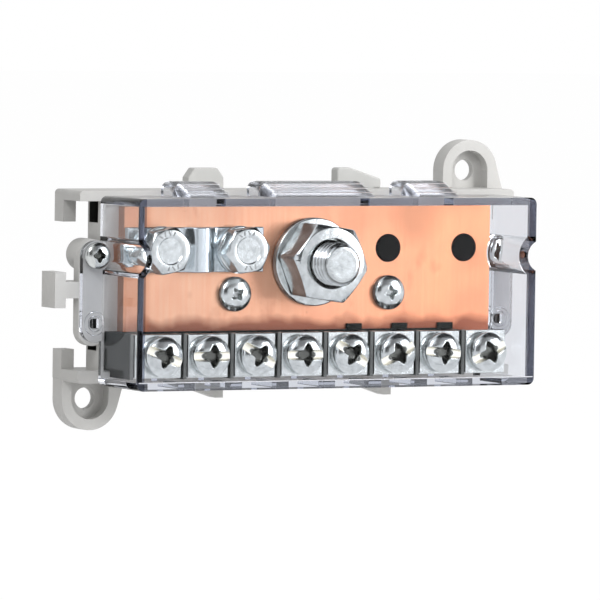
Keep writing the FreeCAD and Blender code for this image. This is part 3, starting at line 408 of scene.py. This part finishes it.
def clear_plastic():
    """Clear polycarbonate. It absorbs a little light, so that long ways through it look slate.

    Shadow rays, diffuse light and what metal mirrors pass straight through it. A ray that has
    entered the plastic has an odd number of transmissions, and its walls mirror it as glass does.
    Where little is mirrored, as on the front, most of that is left out, and so it is on the end
    wall before the comb. The ends of the front have a painted dark reflection, slate as seen
    edge-on, and the hoods are frosted.
    """
    surface = Surface("clear_polycarbonate", IOR=1.585, Transmission_Weight=1.0)
    # Painted dark reflection: the end walls are slate.
    ends = surface.most(surface.within(*END_WALLS[0]), surface.within(*END_WALLS[1]))
    colour = surface.mix(ends, (0.985, 0.99, 1.0), (0.40, 0.42, 0.50))
    surface.join(colour, surface.shader, "Base Color")
    haze = surface.spread(surface.noise(6 * MM, 3.0), 0.3, 0.7, 0.0, 0.03)
    haze = surface.most(haze, surface.times(surface.within(*HOOD_BOX), 0.22))
    surface.join(haze, surface.shader, "Roughness")
    waves = surface.noise(9 * MM, 1.0, shift=1.0)
    surface.relief(waves, 0.02 * MM, 0.5)
    straight = surface.add("ShaderNodeBsdfRefraction")
    surface.join(colour, straight, "Color")
    straight.inputs["IOR"].default_value = 1.585
    surface.join(haze, straight, "Roughness")
    mirror = surface.add("ShaderNodeFresnel")
    mirror.inputs["IOR"].default_value = 1.585
    glass = surface.add("ShaderNodeMixShader")
    share = surface.spread(mirror.outputs[0], 0.065, 0.16, 0.12, 1.0)
    open_end = surface.spread(surface.within(*LOW_END_WALL), 0.0, 1.0, 1.0, 0.1)
    surface.join(surface.times(share, open_end), glass, 0)
    surface.join(straight.outputs[0], glass, 1)
    surface.join(surface.shader.outputs["BSDF"], glass, 2)
    passing = surface.add("ShaderNodeBsdfTransparent")
    passing.inputs["Color"].default_value = (0.985, 0.987, 0.99, 1.0)
    path = surface.add("ShaderNodeLightPath").outputs
    lighting = surface.most(path["Is Shadow Ray"], path["Is Diffuse Ray"])
    mirrored = surface.less(path["Is Glossy Ray"], path["Is Transmission Ray"])
    inside = combine(surface.tree, "MODULO", path["Transmission Depth"], 2.0)
    choice = surface.add("ShaderNodeMixShader")
    surface.join(surface.most(lighting, surface.less(mirrored, inside)), choice, 0)
    surface.join(glass.outputs[0], choice, 1)
    surface.join(passing.outputs[0], choice, 2)
    surface.join(choice.outputs[0], surface.output, "Surface")
    absorption = surface.add("ShaderNodeVolumeAbsorption")
    absorption.inputs["Color"].default_value = (0.33, 0.37, 0.48, 1.0)
    absorption.inputs["Density"].default_value = 58.0
    surface.join(absorption.outputs[0], surface.output, "Volume")
    return surface.material


def edge_highlight():
    """A pale strip on an edge of the clear plastic: a painted highlight."""
    surface = Surface("painted_highlight_edge", IOR=1.585, Transmission_Weight=0.35, Roughness=0.25)
    clouds = surface.noise(5 * MM, 3.0, shift=2.0)
    colour = surface.mix(clouds, (0.62, 0.63, 0.68), (0.95, 0.96, 1.0))
    surface.join(colour, surface.shader, "Base Color")
    return surface.material


MATERIALS = {
    "base_plastic": grey_plastic("light_grey_polyamide", (0.52, 0.515, 0.50),
                                 (0.46, 0.455, 0.44), WINDOW_PAINTED_SHADE),
    "latch_plastic": grey_plastic("latch_polyamide", (0.50, 0.50, 0.485), (0.44, 0.44, 0.425)),
    "black_plastic": black_plastic("comb_polyamide", (0.010, 0.012, 0.011),
                                   (0.026, 0.030, 0.028), 0.45, -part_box("barrier_comb")[0].y,
                                   Specular_IOR_Level=0.12),
    # Black plugs; the same black is painted shade on the floors of the tabs' slots
    "plug_black": black_plastic("plug_polyamide", (0.004, 0.004, 0.004),
                                (0.010, 0.010, 0.010), 0.6, Specular_IOR_Level=0.12),
    "clear_plastic": clear_plastic(),
    "edge_highlight": edge_highlight(),
    "copper": copper_plate(),
    "zinc_steel": zinc("bright_zinc", (0.77, 0.80, 0.80), 0.17),
    "tinned_strip": tinned_strip(),
}


# Own meshes

def centre_of(node):
    """Middle of a node across and up, and its front and rear depth."""
    low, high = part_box(node)
    return (low.x + high.x) / 2, (low.z + high.z) / 2, -low.y, -high.y


def add_piece(name, mesh, body, slot, nodes=(), look=None):
    piece = bpy.data.objects.new(name, mesh)
    bpy.context.scene.collection.objects.link(piece)
    piece.data.materials.append(MATERIALS[look or slot])
    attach(piece, body)
    if nodes:
        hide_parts(*nodes)
    return piece


def turned(name, across, up, shape, segments, start=0.0, loop=False, sharp=40.0):
    """A mesh round an axis that points to the front.

    shape(angle) gives (radius, depth, recess) points from the front to the rear. With loop the
    last point joins the first, as in a ring, and else both ends are closed on the axis.
    """
    points, darkness, faces = [], [], []
    for k in range(segments):
        angle = start + 2 * math.pi * k / segments
        for radius, depth, recess in shape(angle):
            points.append((across + radius * math.cos(angle), -depth,
                           up + radius * math.sin(angle)))
            darkness.append(recess)
    count = len(points) // segments
    for k in range(segments):
        near, far = k * count, (k + 1) % segments * count
        for j in range(count - (0 if loop else 1)):
            following = (j + 1) % count
            faces.append((near + j, far + j, far + following, near + following))
    mesh = bpy.data.meshes.new(name)
    mesh.from_pydata(points, [], faces)
    layer = mesh.attributes.new("recess", "FLOAT", "POINT")
    layer.data.foreach_set("value", darkness)
    work = bmesh.new()
    work.from_mesh(mesh)
    bmesh.ops.remove_doubles(work, verts=work.verts, dist=1e-7)
    bmesh.ops.dissolve_degenerate(work, edges=work.edges, dist=1e-7)
    bmesh.ops.recalc_face_normals(work, faces=work.faces)
    work.to_mesh(mesh)
    work.free()
    mesh.polygons.foreach_set("use_smooth", [True] * len(mesh.polygons))
    mesh.set_sharp_from_angle(angle=math.radians(sharp))
    return mesh


def hex_reach(angle, flats, turn):
    """Distance from the axis to a hexagon's slightly blunted side in this direction."""
    swing = (angle - turn) % (math.pi / 3) - math.pi / 6
    return min(flats / 2 / math.cos(swing), flats / math.sqrt(3) * HEX_CORNER)


def washer(name, node, hole):
    across, up, front, rear = centre_of(node)
    low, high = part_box(node)
    outer = (high.x - low.x) / 2
    soft = WASHER_ROUNDING

    def shape(angle):
        section = [(hole, front, 0.0), (outer - soft, front, 0.0)]
        for step in range(1, 4):
            swing = math.radians(90.0 * step / 4)
            section.append((outer - soft + soft * math.sin(swing),
                            front - soft + soft * math.cos(swing), 0.0))
        section += [(outer, front - soft, 0.0), (outer, rear + soft, 0.0),
                    (outer - soft, rear, 0.0), (hole, rear, 0.0)]
        return section
    mesh = turned(name, across, up, shape, 96, loop=True)
    add_piece(name, mesh, "housing", "zinc_steel", [node])


def main_nut():
    across, up, front, rear = centre_of("stud_nut")
    bore = STUD_RADIUS * 0.92
    soft = NUT_EDGE
    face = NUT_FLATS * HEX_FACE

    def shape(angle):
        reach = hex_reach(angle, NUT_FLATS, NUT_TURN)
        drop = (reach - face) * HEX_SLOPE
        # The bore and countersink are painted dark as shade.
        return [
            (bore, front - 1.6 * MM, 0.95), (STUD_RADIUS + 0.15 * MM, front - 1.2 * MM, 0.95),
            (STUD_RADIUS + 0.55 * MM, front - 0.5 * MM, 0.8),
            (STUD_RADIUS + NUT_COUNTERSINK, front, 0.25),
            (STUD_RADIUS + NUT_COUNTERSINK + 0.05 * MM, front, 0.0), (face - soft, front, 0.0),
            (face, front - soft * 0.3, 0.0),
            (reach - soft, front - drop + soft * 0.3, 0.0), (reach, front - drop - soft, 0.0),
            (reach, rear + drop + soft, 0.0), (reach - soft, rear + drop, 0.0),
            (face, rear, 0.0), (bore, rear, 0.0),
        ]
    mesh = turned("main_nut", across, up, shape, 6 * 30, NUT_TURN, loop=True, sharp=25.0)
    add_piece("main_nut", mesh, "housing", "zinc_steel", ["stud_nut"])


def thread_depth(depth, angle, pitch):
    """From 0 at the crest of a right-hand thread to 1 at its root."""
    phase = (depth / pitch + angle / (2 * math.pi)) % 1.0
    ramp = abs(2 * phase - 1)
    return min(1.0, max(0.0, (ramp - THREAD_FLAT) / (1.0 - 2 * THREAD_FLAT)))


def main_stud():
    """The stud: its thread is cut where it shows, and its head sits in the base."""
    across, up, front, rear = centre_of("stud")
    head_front = rear + STUD_HEAD
    nut_front = centre_of("stud_nut")[2]
    rows = int((front - nut_front + THREAD_BEHIND_NUT) / STUD_PITCH * STUD_ROWS_PER_TURN)

    def shape(angle):
        section = [(STUD_RADIUS * share, front, shade) for share, shade in STUD_END]
        section.append((STUD_RADIUS - STUD_CHAMFER - 0.1 * MM, front, 0.06))
        for row in range(rows + 1):
            depth = front - 0.05 * MM - row * STUD_PITCH / STUD_ROWS_PER_TURN
            deep = thread_depth(depth, -angle, STUD_PITCH)
            radius = STUD_RADIUS - STUD_THREAD_DEPTH * deep
            limit = STUD_RADIUS - STUD_CHAMFER + (front - depth)
            # The thread's roots are painted dark as shade.
            section.append((min(radius, limit), depth, 0.9 * deep ** 1.5))
        section.append((STUD_RADIUS, depth - 0.1 * MM, 0.0))
        section.append((STUD_RADIUS, head_front, 0.0))
        reach = hex_reach(angle, STUD_HEAD_FLATS, 0.0)
        section += [(reach, head_front, 0.0), (reach, rear + 0.3 * MM, 0.0),
                    (STUD_HEAD_FLATS * HEX_FACE, rear, 0.0), (0.0, rear, 0.0)]
        return section
    mesh = turned("main_stud", across, up, shape, 96, sharp=50.0)
    add_piece("main_stud", mesh, "housing", "zinc_steel", ["stud"])


def link_bolt(side, turn):
    node = side + "_link_bolt"
    across, up, front, rear = centre_of(node)
    under = front - BOLT_HEAD
    face = BOLT_FLATS * HEX_FACE
    rim = face * BOLT_RIM
    soft = BOLT_EDGE

    def shape(angle):
        reach = hex_reach(angle, BOLT_FLATS, turn)
        drop = (reach - face) * HEX_SLOPE
        return [
            (0.0, front - BOLT_DISH, 0.0), (rim - 0.25 * MM, front - BOLT_DISH, 0.0),
            (rim, front, 0.0), (rim + 0.12 * MM, front + 0.02 * MM, 0.0),
            (face - soft, front, 0.0), (face, front - soft * 0.3, 0.0),
            (reach - soft, front - drop + soft * 0.3, 0.0), (reach, front - drop - soft, 0.0),
            (reach, under + 0.1 * MM, 0.0), (reach - 0.2 * MM, under, 0.0),
            (BOLT_RADIUS, under, 0.0), (BOLT_RADIUS, rear + 0.5 * MM, 0.0),
            (BOLT_RADIUS - 0.5 * MM, rear, 0.0), (0.0, rear, 0.0),
        ]
    mesh = turned(node + "_turned", across, up, shape, 6 * 20, turn, sharp=25.0)
    add_strokes(mesh, across, up, front, (rim + face) / 2, turn)
    add_piece(node + "_turned", mesh, "housing", "zinc_steel", [node])


def add_strokes(mesh, across, up, front, radius, turn):
    """Plain raised strokes round the face, as forged on a bolt head."""
    work = bmesh.new()
    work.from_mesh(mesh)
    shade = work.verts.layers.float["recess"]
    for middle, count in STROKE_ROWS:
        for k in range(count):
            angle = middle + turn + (k - (count - 1) / 2) * STROKE_STEP
            spin = Matrix.Rotation(-angle - STROKE_TILTS[k % 2], 4, "Y")
            place = Matrix.Translation((across + radius * math.cos(angle), -front,
                                        up + radius * math.sin(angle)))
            size = Matrix.Diagonal((*STROKE_SIZE, 1.0))
            stroke = bmesh.ops.create_cube(work, size=1.0, matrix=place @ spin @ size)
            for vert in stroke["verts"]:
                vert[shade] = STROKE_SHADE
    work.to_mesh(mesh)
    work.free()


def recess_floor(x, y, height, slot, cross):
    """Height of the driver recess above the head's underside, at x along the slot."""
    x, y = abs(x), abs(y)
    floor = height * 2
    if slot:
        width, deep = slot
        floor = min(floor, height - deep + RECESS_SLOPE * max(0.0, y - width / 2))
    half, width, deep = cross
    for along, beside in ((x, y), (y, x)):
        narrow = width / 2 * (1.0 - 0.55 * min(1.0, along / half) ** 2)
        side = RECESS_SLOPE * max(0.0, beside - narrow)
        end = RECESS_END_SLOPE * max(0.0, along - half * 0.5)
        floor = min(floor, height - deep + side + end)
    return floor


def pan_head(name, node, body, turn, head_height, slot, cross, shank, thread_pitch=0.0,
             recess_shade=1.0):
    """A pan head screw with a tapered recess in its domed head, painted dark inside as shade.

    The slot is (width, depth) or None, and the cross (half length, width, depth).
    """
    across, up, front, rear = centre_of(node)
    low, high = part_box(node)
    outer = (high.x - low.x) / 2
    under = front - head_height
    rim = SLOTTED_RIM if slot else CROSS_RIM
    rows_per_turn = 6

    def shape(angle):
        section = []
        for ring in range(HEAD_RINGS + 1):
            share = 1.0 - (1.0 - ring / HEAD_RINGS) ** 1.5
            radius = outer * share
            dome = rim + (1.0 - rim) * max(0.0, 1.0 - share ** DOME_POWER) ** DOME_FALL
            height = head_height * dome
            x = radius * math.cos(angle - turn)
            y = radius * math.sin(angle - turn)
            floor = recess_floor(x, y, head_height, slot, cross)
            cross_only = recess_floor(x, y, head_height, None, cross)
            deep = max(0.0, min(height, head_height) - cross_only)
            # Painted shade in the cross recess, darker with depth.
            shade = recess_shade * min(1.0, deep / RECESS_SHADE_DEPTH) ** 2
            if slot and not shade and height - floor > 0.3 * MM:
                shade = -1.0
            section.append((radius, under + min(height, floor), shade))
        section += [(outer, under + 0.15 * MM, 0.0), (outer - 0.15 * MM, under, 0.0),
                    (shank, under, 0.0)]
        if thread_pitch:
            rows = int((under - rear) / thread_pitch * rows_per_turn)
            for row in range(1, rows):
                depth = under - row * thread_pitch / rows_per_turn
                deep = thread_depth(depth, -angle, thread_pitch)
                # The thread's roots are painted dark as shade.
                section.append((shank - 0.55 * thread_pitch * deep, depth, 0.2 * deep))
        section += [(shank - 0.4 * MM, rear, 0.0), (0.0, rear, 0.0)]
        return section
    mesh = turned(name, across, up, shape, HEAD_SEGMENTS, sharp=60.0)
    add_piece(name, mesh, body, "zinc_steel", [node])


def bevelled(node, width):
    """Soften the sharp edges of a node that is shown as modelled."""
    thing = frame["nodes"][node]
    weld = thing.modifiers.new("weld", "WELD")
    weld.merge_threshold = 0.002 * MM
    flat = thing.modifiers.new("flat", "DECIMATE")
    flat.decimate_type = "DISSOLVE"
    flat.angle_limit = math.radians(0.5)
    bevel = thing.modifiers.new("bevel", "BEVEL")
    bevel.width = width
    bevel.segments = 2
    bevel.limit_method = "ANGLE"
    bevel.angle_limit = math.radians(40)


def shrunk(node, by):
    """Draw a node's faces in by a hair, so that none lies in the face of the piece it rests on."""
    draw_in = frame["nodes"][node].modifiers.new("draw_in", "DISPLACE")
    draw_in.strength = -by
    draw_in.mid_level = 0.0


def dress_nodes():
    """Give every node of the frame its procedural material."""
    for part in frame["record"]["subparts"]:
        thing = frame["nodes"][part["node"]]
        slot = "plug_black" if part["node"].endswith("_plug") else part["material_slot"]
        thing.data.materials.clear()
        thing.data.materials.append(MATERIALS[slot])


def link_strap():
    """The strap between the link bolts: a flat strip with a smooth arched crown."""
    low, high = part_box("link_strap")
    middle = (low.x + high.x) / 2
    rear = -high.y
    inner_foot = STRAP_FOOT - STRAP_THICKNESS * 0.5
    front, back = [], []
    for step in range(STRAP_STEPS + 1):
        x = low.x + (high.x - low.x) * step / STRAP_STEPS
        rise = STRAP_RISE * ease((STRAP_FOOT - abs(x - middle)) / STRAP_RUN)
        behind = STRAP_RISE * ease((inner_foot - abs(x - middle)) / STRAP_RUN)
        front.append((x, rear + STRAP_THICKNESS + rise))
        back.append((x, rear + behind))
    outline = front + back[::-1]
    count = len(outline)
    points = [(x, -depth, up) for up in (low.z, high.z) for x, depth in outline]
    faces = [(k, (k + 1) % count, count + (k + 1) % count, count + k) for k in range(count)]
    half = count // 2
    for k in range(half - 1):
        mirror = count - 1 - k
        faces.append((k, k + 1, mirror - 1, mirror))
        faces.append((count + k, count + k + 1, count + mirror - 1, count + mirror))
    strap = closed_piece("link_strip", points, faces, "housing", "tinned_strip", ["link_strap"])
    strap.data.polygons.foreach_set("use_smooth", [True] * len(strap.data.polygons))
    strap.data.set_sharp_from_angle(angle=math.radians(35))
    edge = strap.modifiers.new("bevel", "BEVEL")
    edge.width = STRAP_EDGE
    edge.segments = 2
    edge.limit_method = "ANGLE"
    edge.angle_limit = math.radians(60)


def ease(share):
    share = min(1.0, max(0.0, share))
    return share * share * (3.0 - 2.0 * share)


def bar(name, section, start, end, body, slot, look=None):
    """A closed prism along X. The section gives (depth, up) points in order."""
    count = len(section)
    points = [(x, -depth, up) for x in (start, end) for depth, up in section]
    faces = [(k, (k + 1) % count, count + (k + 1) % count, count + k) for k in range(count)]
    faces += [tuple(range(count)), tuple(range(2 * count - 1, count - 1, -1))]
    closed_piece(name, points, faces, body, slot, look=look)


def closed_piece(name, points, faces, body, slot, nodes=(), look=None):
    mesh = bpy.data.meshes.new(name)
    mesh.from_pydata(points, [], faces)
    work = bmesh.new()
    work.from_mesh(mesh)
    bmesh.ops.recalc_face_normals(work, faces=work.faces)
    work.to_mesh(mesh)
    work.free()
    return add_piece(name, mesh, body, slot, nodes, look)


def hood_ribs():
    """Fine ribs along the sloping front of each hood of the cover."""
    run = HOOD_TIP[0] - HOOD_LEDGE[0]
    drop = HOOD_LEDGE[1] - HOOD_TIP[1]
    slope = math.atan2(drop, run)
    for hood, (middle, reach) in enumerate(HOODS):
        for rib, share in enumerate(RIB_PLACES):
            depth = HOOD_LEDGE[0] + run * share
            up = HOOD_LEDGE[1] - drop * share
            section = []
            for step in range(7):
                swing = math.pi * step / 6 + slope - math.pi
                section.append((depth - RIB_RADIUS * math.cos(swing) + RIB_LIFT * math.sin(slope),
                                up - RIB_RADIUS * math.sin(swing) + RIB_LIFT * math.cos(slope)))
            bar("hood_rib_%d_%d" % (hood + 1, rib + 1), section, middle - reach, middle + reach,
                "housing", "clear_plastic")


def bead(first, second, radius):
    """Eight points round a fine bead."""
    return [(first + radius * math.cos(turn), second + radius * math.sin(turn))
            for turn in (math.pi * k / 4 for k in range(8))]


def edge_highlight_line():
    """A pale bead along the cover's lower front edge: a painted highlight."""
    section = bead(-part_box("cover")[0].y, EDGE_LINE_UP, EDGE_LINE_RADIUS)
    bar("edge_highlight_line", section, -EDGE_LINE_REACH, EDGE_LINE_REACH, "housing", "clear_plastic",
        "edge_highlight")


def tab_pockets():
    """The slot in each of the cover's tabs: a black sheet on its floor as painted shade, and a low
    rim round it.
    """
    for label, side in (("left", -1), ("right", 1)):
        across = side * TAB_POCKET_ACROSS
        low, high = TAB_POCKET_UP - TAB_FLOOR_TALL, TAB_POCKET_UP + TAB_FLOOR_TALL
        section = [(TAB_FLOOR_FRONT, low), (TAB_FLOOR_FRONT, high), (TAB_FLOOR_REAR, high),
                   (TAB_FLOOR_REAR, low)]
        # A black sheet on the slot's floor: painted shade.
        bar(label + "_pocket_shade_sheet", section, across - TAB_FLOOR_HALF, across + TAB_FLOOR_HALF,
            "housing", "black_plastic", "plug_black")
        for name, radius in TAB_RIM_RADII:
            section = [(*point, 0.0) for point in bead(radius, TAB_FRONT, TAB_RIM)]
            name = "%s_%s_rim" % (label, name)
            mesh = turned(name, across, TAB_POCKET_UP, lambda angle: section, 48, loop=True)
            add_piece(name, mesh, "housing", "clear_plastic")


def tab_ribs():
    """Fine upright ribs on the outer face of the coupling tab."""
    for k in range(TAB_RIBS):
        depth = TAB_DEPTHS[0] + (TAB_DEPTHS[1] - TAB_DEPTHS[0]) * (k + 0.5) / TAB_RIBS
        section = [(depth - TAB_RIB_HALF, TAB_RIB_FOOT), (depth, TAB_RIB_TOP),
                   (depth + TAB_RIB_HALF, TAB_RIB_FOOT)]
        points = [(x, -d, up) for up in TAB_UP for d, x in section]
        faces = [(0, 1, 4, 3), (1, 2, 5, 4), (2, 0, 3, 5), (0, 2, 1), (3, 4, 5)]
        closed_piece("tab_rib_%d" % (k + 1), points, faces, "housing", "base_plastic")


dress_nodes()
for node, width in (("base", 0.3 * MM), ("left_rail_latch", 0.35 * MM),
                    ("right_rail_latch", 0.35 * MM), ("cover", 0.4 * MM),
                    ("barrier_comb", 0.12 * MM)):
    bevelled(node, width)
shrunk("cover", 0.03 * MM)
for k in CLAMPS:
    bevelled("clamp_plate_%d" % k, 0.3 * MM)
hood_ribs()
edge_highlight_line()
tab_ribs()
tab_pockets()
link_strap()
washer("main_washer", "stud_washer", STUD_RADIUS + 0.1 * MM)
main_nut()
main_stud()
for side, turn in (("left", LEFT_BOLT_TURN), ("right", RIGHT_BOLT_TURN)):
    washer(side + "_small_washer", side + "_link_washer", BOLT_RADIUS + 0.1 * MM)
    link_bolt(side, turn)
    pan_head(side + "_busbar_screw_turned", side + "_busbar_screw", "housing",
             BUSBAR_SCREW_TURNS[side], head_height=2.2 * MM, slot=None,
             cross=(1.7 * MM, 0.8 * MM, 1.5 * MM), shank=2.0 * MM, recess_shade=0.35)
    pan_head(side + "_cover_screw_turned", side + "_cover_screw", "housing",
             COVER_SCREW_TURNS[side], head_height=1.9 * MM, slot=None,
             cross=(1.7 * MM, 0.9 * MM, 1.4 * MM), shank=1.5 * MM)
for k in CLAMPS:
    pan_head("clamp_screw_%d_turned" % k, "clamp_screw_%d" % k, "screw_%d" % k, SLOT_TURNS[k - 1],
             head_height=3.4 * MM, slot=(1.6 * MM, 1.6 * MM),
             cross=(2.5 * MM, 1.5 * MM, 2.6 * MM), shank=2.5 * MM, thread_pitch=0.8 * MM)


# Camera, floor and light

OUTSIDE_MIRROR = 0.25
FLOOR_WHITE = 0.94
FLOOR_PLACE = (0.0, 0.0, -0.086)
CAMERA_PLACE = Vector((-746.933, -1446.379, 81.443)) * MM
CAMERA_YAW = math.radians(27.538)
CAMERA_PITCH = math.radians(3.007)
CAMERA_ROLL = math.radians(0.896)
CAMERA_LENS = 420.0


def photo_camera():
    level = math.cos(CAMERA_PITCH)
    ahead = Vector((math.sin(CAMERA_YAW) * level, math.cos(CAMERA_YAW) * level,
                    -math.sin(CAMERA_PITCH)))
    right = Vector((math.cos(CAMERA_YAW), -math.sin(CAMERA_YAW), 0.0))
    above = right.cross(ahead)
    cos, sin = math.cos(CAMERA_ROLL), math.sin(CAMERA_ROLL)
    right, above = right * cos + above * sin, above * cos - right * sin
    data = bpy.data.cameras.new("photo_camera")
    data.sensor_width = 36.0
    data.lens = CAMERA_LENS
    data.clip_start = 0.05
    data.clip_end = 50.0
    camera = bpy.data.objects.new("photo_camera", data)
    turn = Matrix((right, above, -ahead)).transposed().to_4x4()
    camera.matrix_world = Matrix.Translation(CAMERA_PLACE) @ turn
    bpy.context.scene.collection.objects.link(camera)
    bpy.context.scene.camera = camera


def flat_card(name, width, height, place, towards, material):
    """A rectangle of this size whose face looks at a point."""
    mesh = bpy.data.meshes.new(name)
    w, h = width / 2, height / 2
    mesh.from_pydata([(-w, -h, 0), (w, -h, 0), (w, h, 0), (-w, h, 0)], [], [(0, 1, 2, 3)])
    card = bpy.data.objects.new(name, mesh)
    look = (Vector(towards) - Vector(place)).to_track_quat("Z", "Y")
    card.matrix_world = Matrix.Translation(place) @ look.to_matrix().to_4x4()
    mesh.materials.append(material)
    bpy.context.scene.collection.objects.link(card)
    return card


def card_material(name, tone):
    material = bpy.data.materials.new(name)
    material.use_nodes = True
    shader = material.node_tree.nodes["Principled BSDF"]
    shader.inputs["Base Color"].default_value = (tone, tone, tone, 1.0)
    shader.inputs["Roughness"].default_value = 1.0
    shader.inputs["Specular IOR Level"].default_value = 0.0
    return material


def floor_material():
    """A white floor, nearly plain white where it is seen. It keeps a faint shadow."""
    material = bpy.data.materials.new("pale_floor")
    material.use_nodes = True
    tree = material.node_tree
    shader = tree.nodes["Principled BSDF"]
    shader.inputs["Base Color"].default_value = (0.72, 0.72, 0.72, 1.0)
    shader.inputs["Roughness"].default_value = 0.9
    white = tree.nodes.new("ShaderNodeEmission")
    white.inputs["Strength"].default_value = 1.03
    choice = tree.nodes.new("ShaderNodeMixShader")
    tree.links.new(combine(tree, "MULTIPLY", seen_ray(tree), FLOOR_WHITE), choice.inputs[0])
    tree.links.new(shader.outputs["BSDF"], choice.inputs[1])
    tree.links.new(white.outputs[0], choice.inputs[2])
    tree.links.new(choice.outputs[0], tree.nodes["Material Output"].inputs["Surface"])
    return material


def seen_ray(tree):
    """1 for what the camera, metal or clear plastic shows, and 0 for light on other surfaces.

    What a surface outside the cover mirrors is dimmer, so that the cover's front stays clear.
    """
    path = tree.nodes.new("ShaderNodeLightPath").outputs
    within = combine(tree, "MINIMUM", path["Transmission Depth"], 1.0)
    level = combine(tree, "MAXIMUM", within, OUTSIDE_MIRROR)
    glossy = combine(tree, "MULTIPLY", path["Is Glossy Ray"], level)
    seen = combine(tree, "MAXIMUM", path["Is Camera Ray"], path["Is Transmission Ray"])
    return combine(tree, "MAXIMUM", seen, glossy)


def area_light(name, place, size, power):
    data = bpy.data.lights.new(name, "AREA")
    data.shape = "RECTANGLE"
    data.size, data.size_y = size
    data.energy = power
    light = bpy.data.objects.new(name, data)
    look = (-Vector(place)).to_track_quat("-Z", "Y")
    light.matrix_world = Matrix.Translation(place) @ look.to_matrix().to_4x4()
    bpy.context.scene.collection.objects.link(light)
    return light


def white_world():
    world = bpy.data.worlds.new("studio")
    world.use_nodes = True
    tree = world.node_tree
    background = tree.nodes["Background"]
    background.inputs["Color"].default_value = (1.0, 1.0, 1.0, 1.0)
    level = tree.nodes.new("ShaderNodeMapRange")
    level.inputs["To Min"].default_value = 0.52
    level.inputs["To Max"].default_value = 1.0
    tree.links.new(seen_ray(tree), level.inputs["Value"])
    tree.links.new(level.outputs["Result"], background.inputs["Strength"])
    bpy.context.scene.world = world


def studio():
    white_world()
    flat_card("floor", 12.0, 12.0, FLOOR_PLACE, (0.0, 0.0, 1.0), floor_material())
    dark = card_material("dark_card", 0.03)
    grey = card_material("grey_card", 0.35)
    for name, material, width, height, place in (
        ("dark_card_front", dark, 1.5, 1.1, (-0.9, -2.6, 0.5)),
        ("dark_card_left", dark, 0.8, 1.2, (-2.2, -0.9, 0.5)),
        ("dark_card_top", dark, 2.6, 2.0, (0.9, -0.7, 1.7)),
        ("grey_card_top", grey, 3.4, 1.7, (1.1, -1.5, 1.25)),
    ):
        card = flat_card(name, width, height, place, (0.0, 0.0, 0.0), material)
        card.visible_camera = False
        card.visible_diffuse = False
        card.visible_shadow = False
    area_light("key_light", (-1.2, -1.4, 1.3), (0.7, 0.7), 16.0)
    area_light("right_light", (1.5, -1.6, 0.5), (0.9, 1.2), 23.0)
    top_light = area_light("top_light", (0.5, -0.7, 1.7), (0.6, 0.6), 7.0)
    top_light.visible_glossy = False
    near_light = area_light("near_right_light", (0.30, -0.28, 0.34), (0.2, 0.2), 1.0)
    near_light.visible_glossy = False


photo_camera()
studio()
bpy.context.scene.view_settings.view_transform = "Standard"
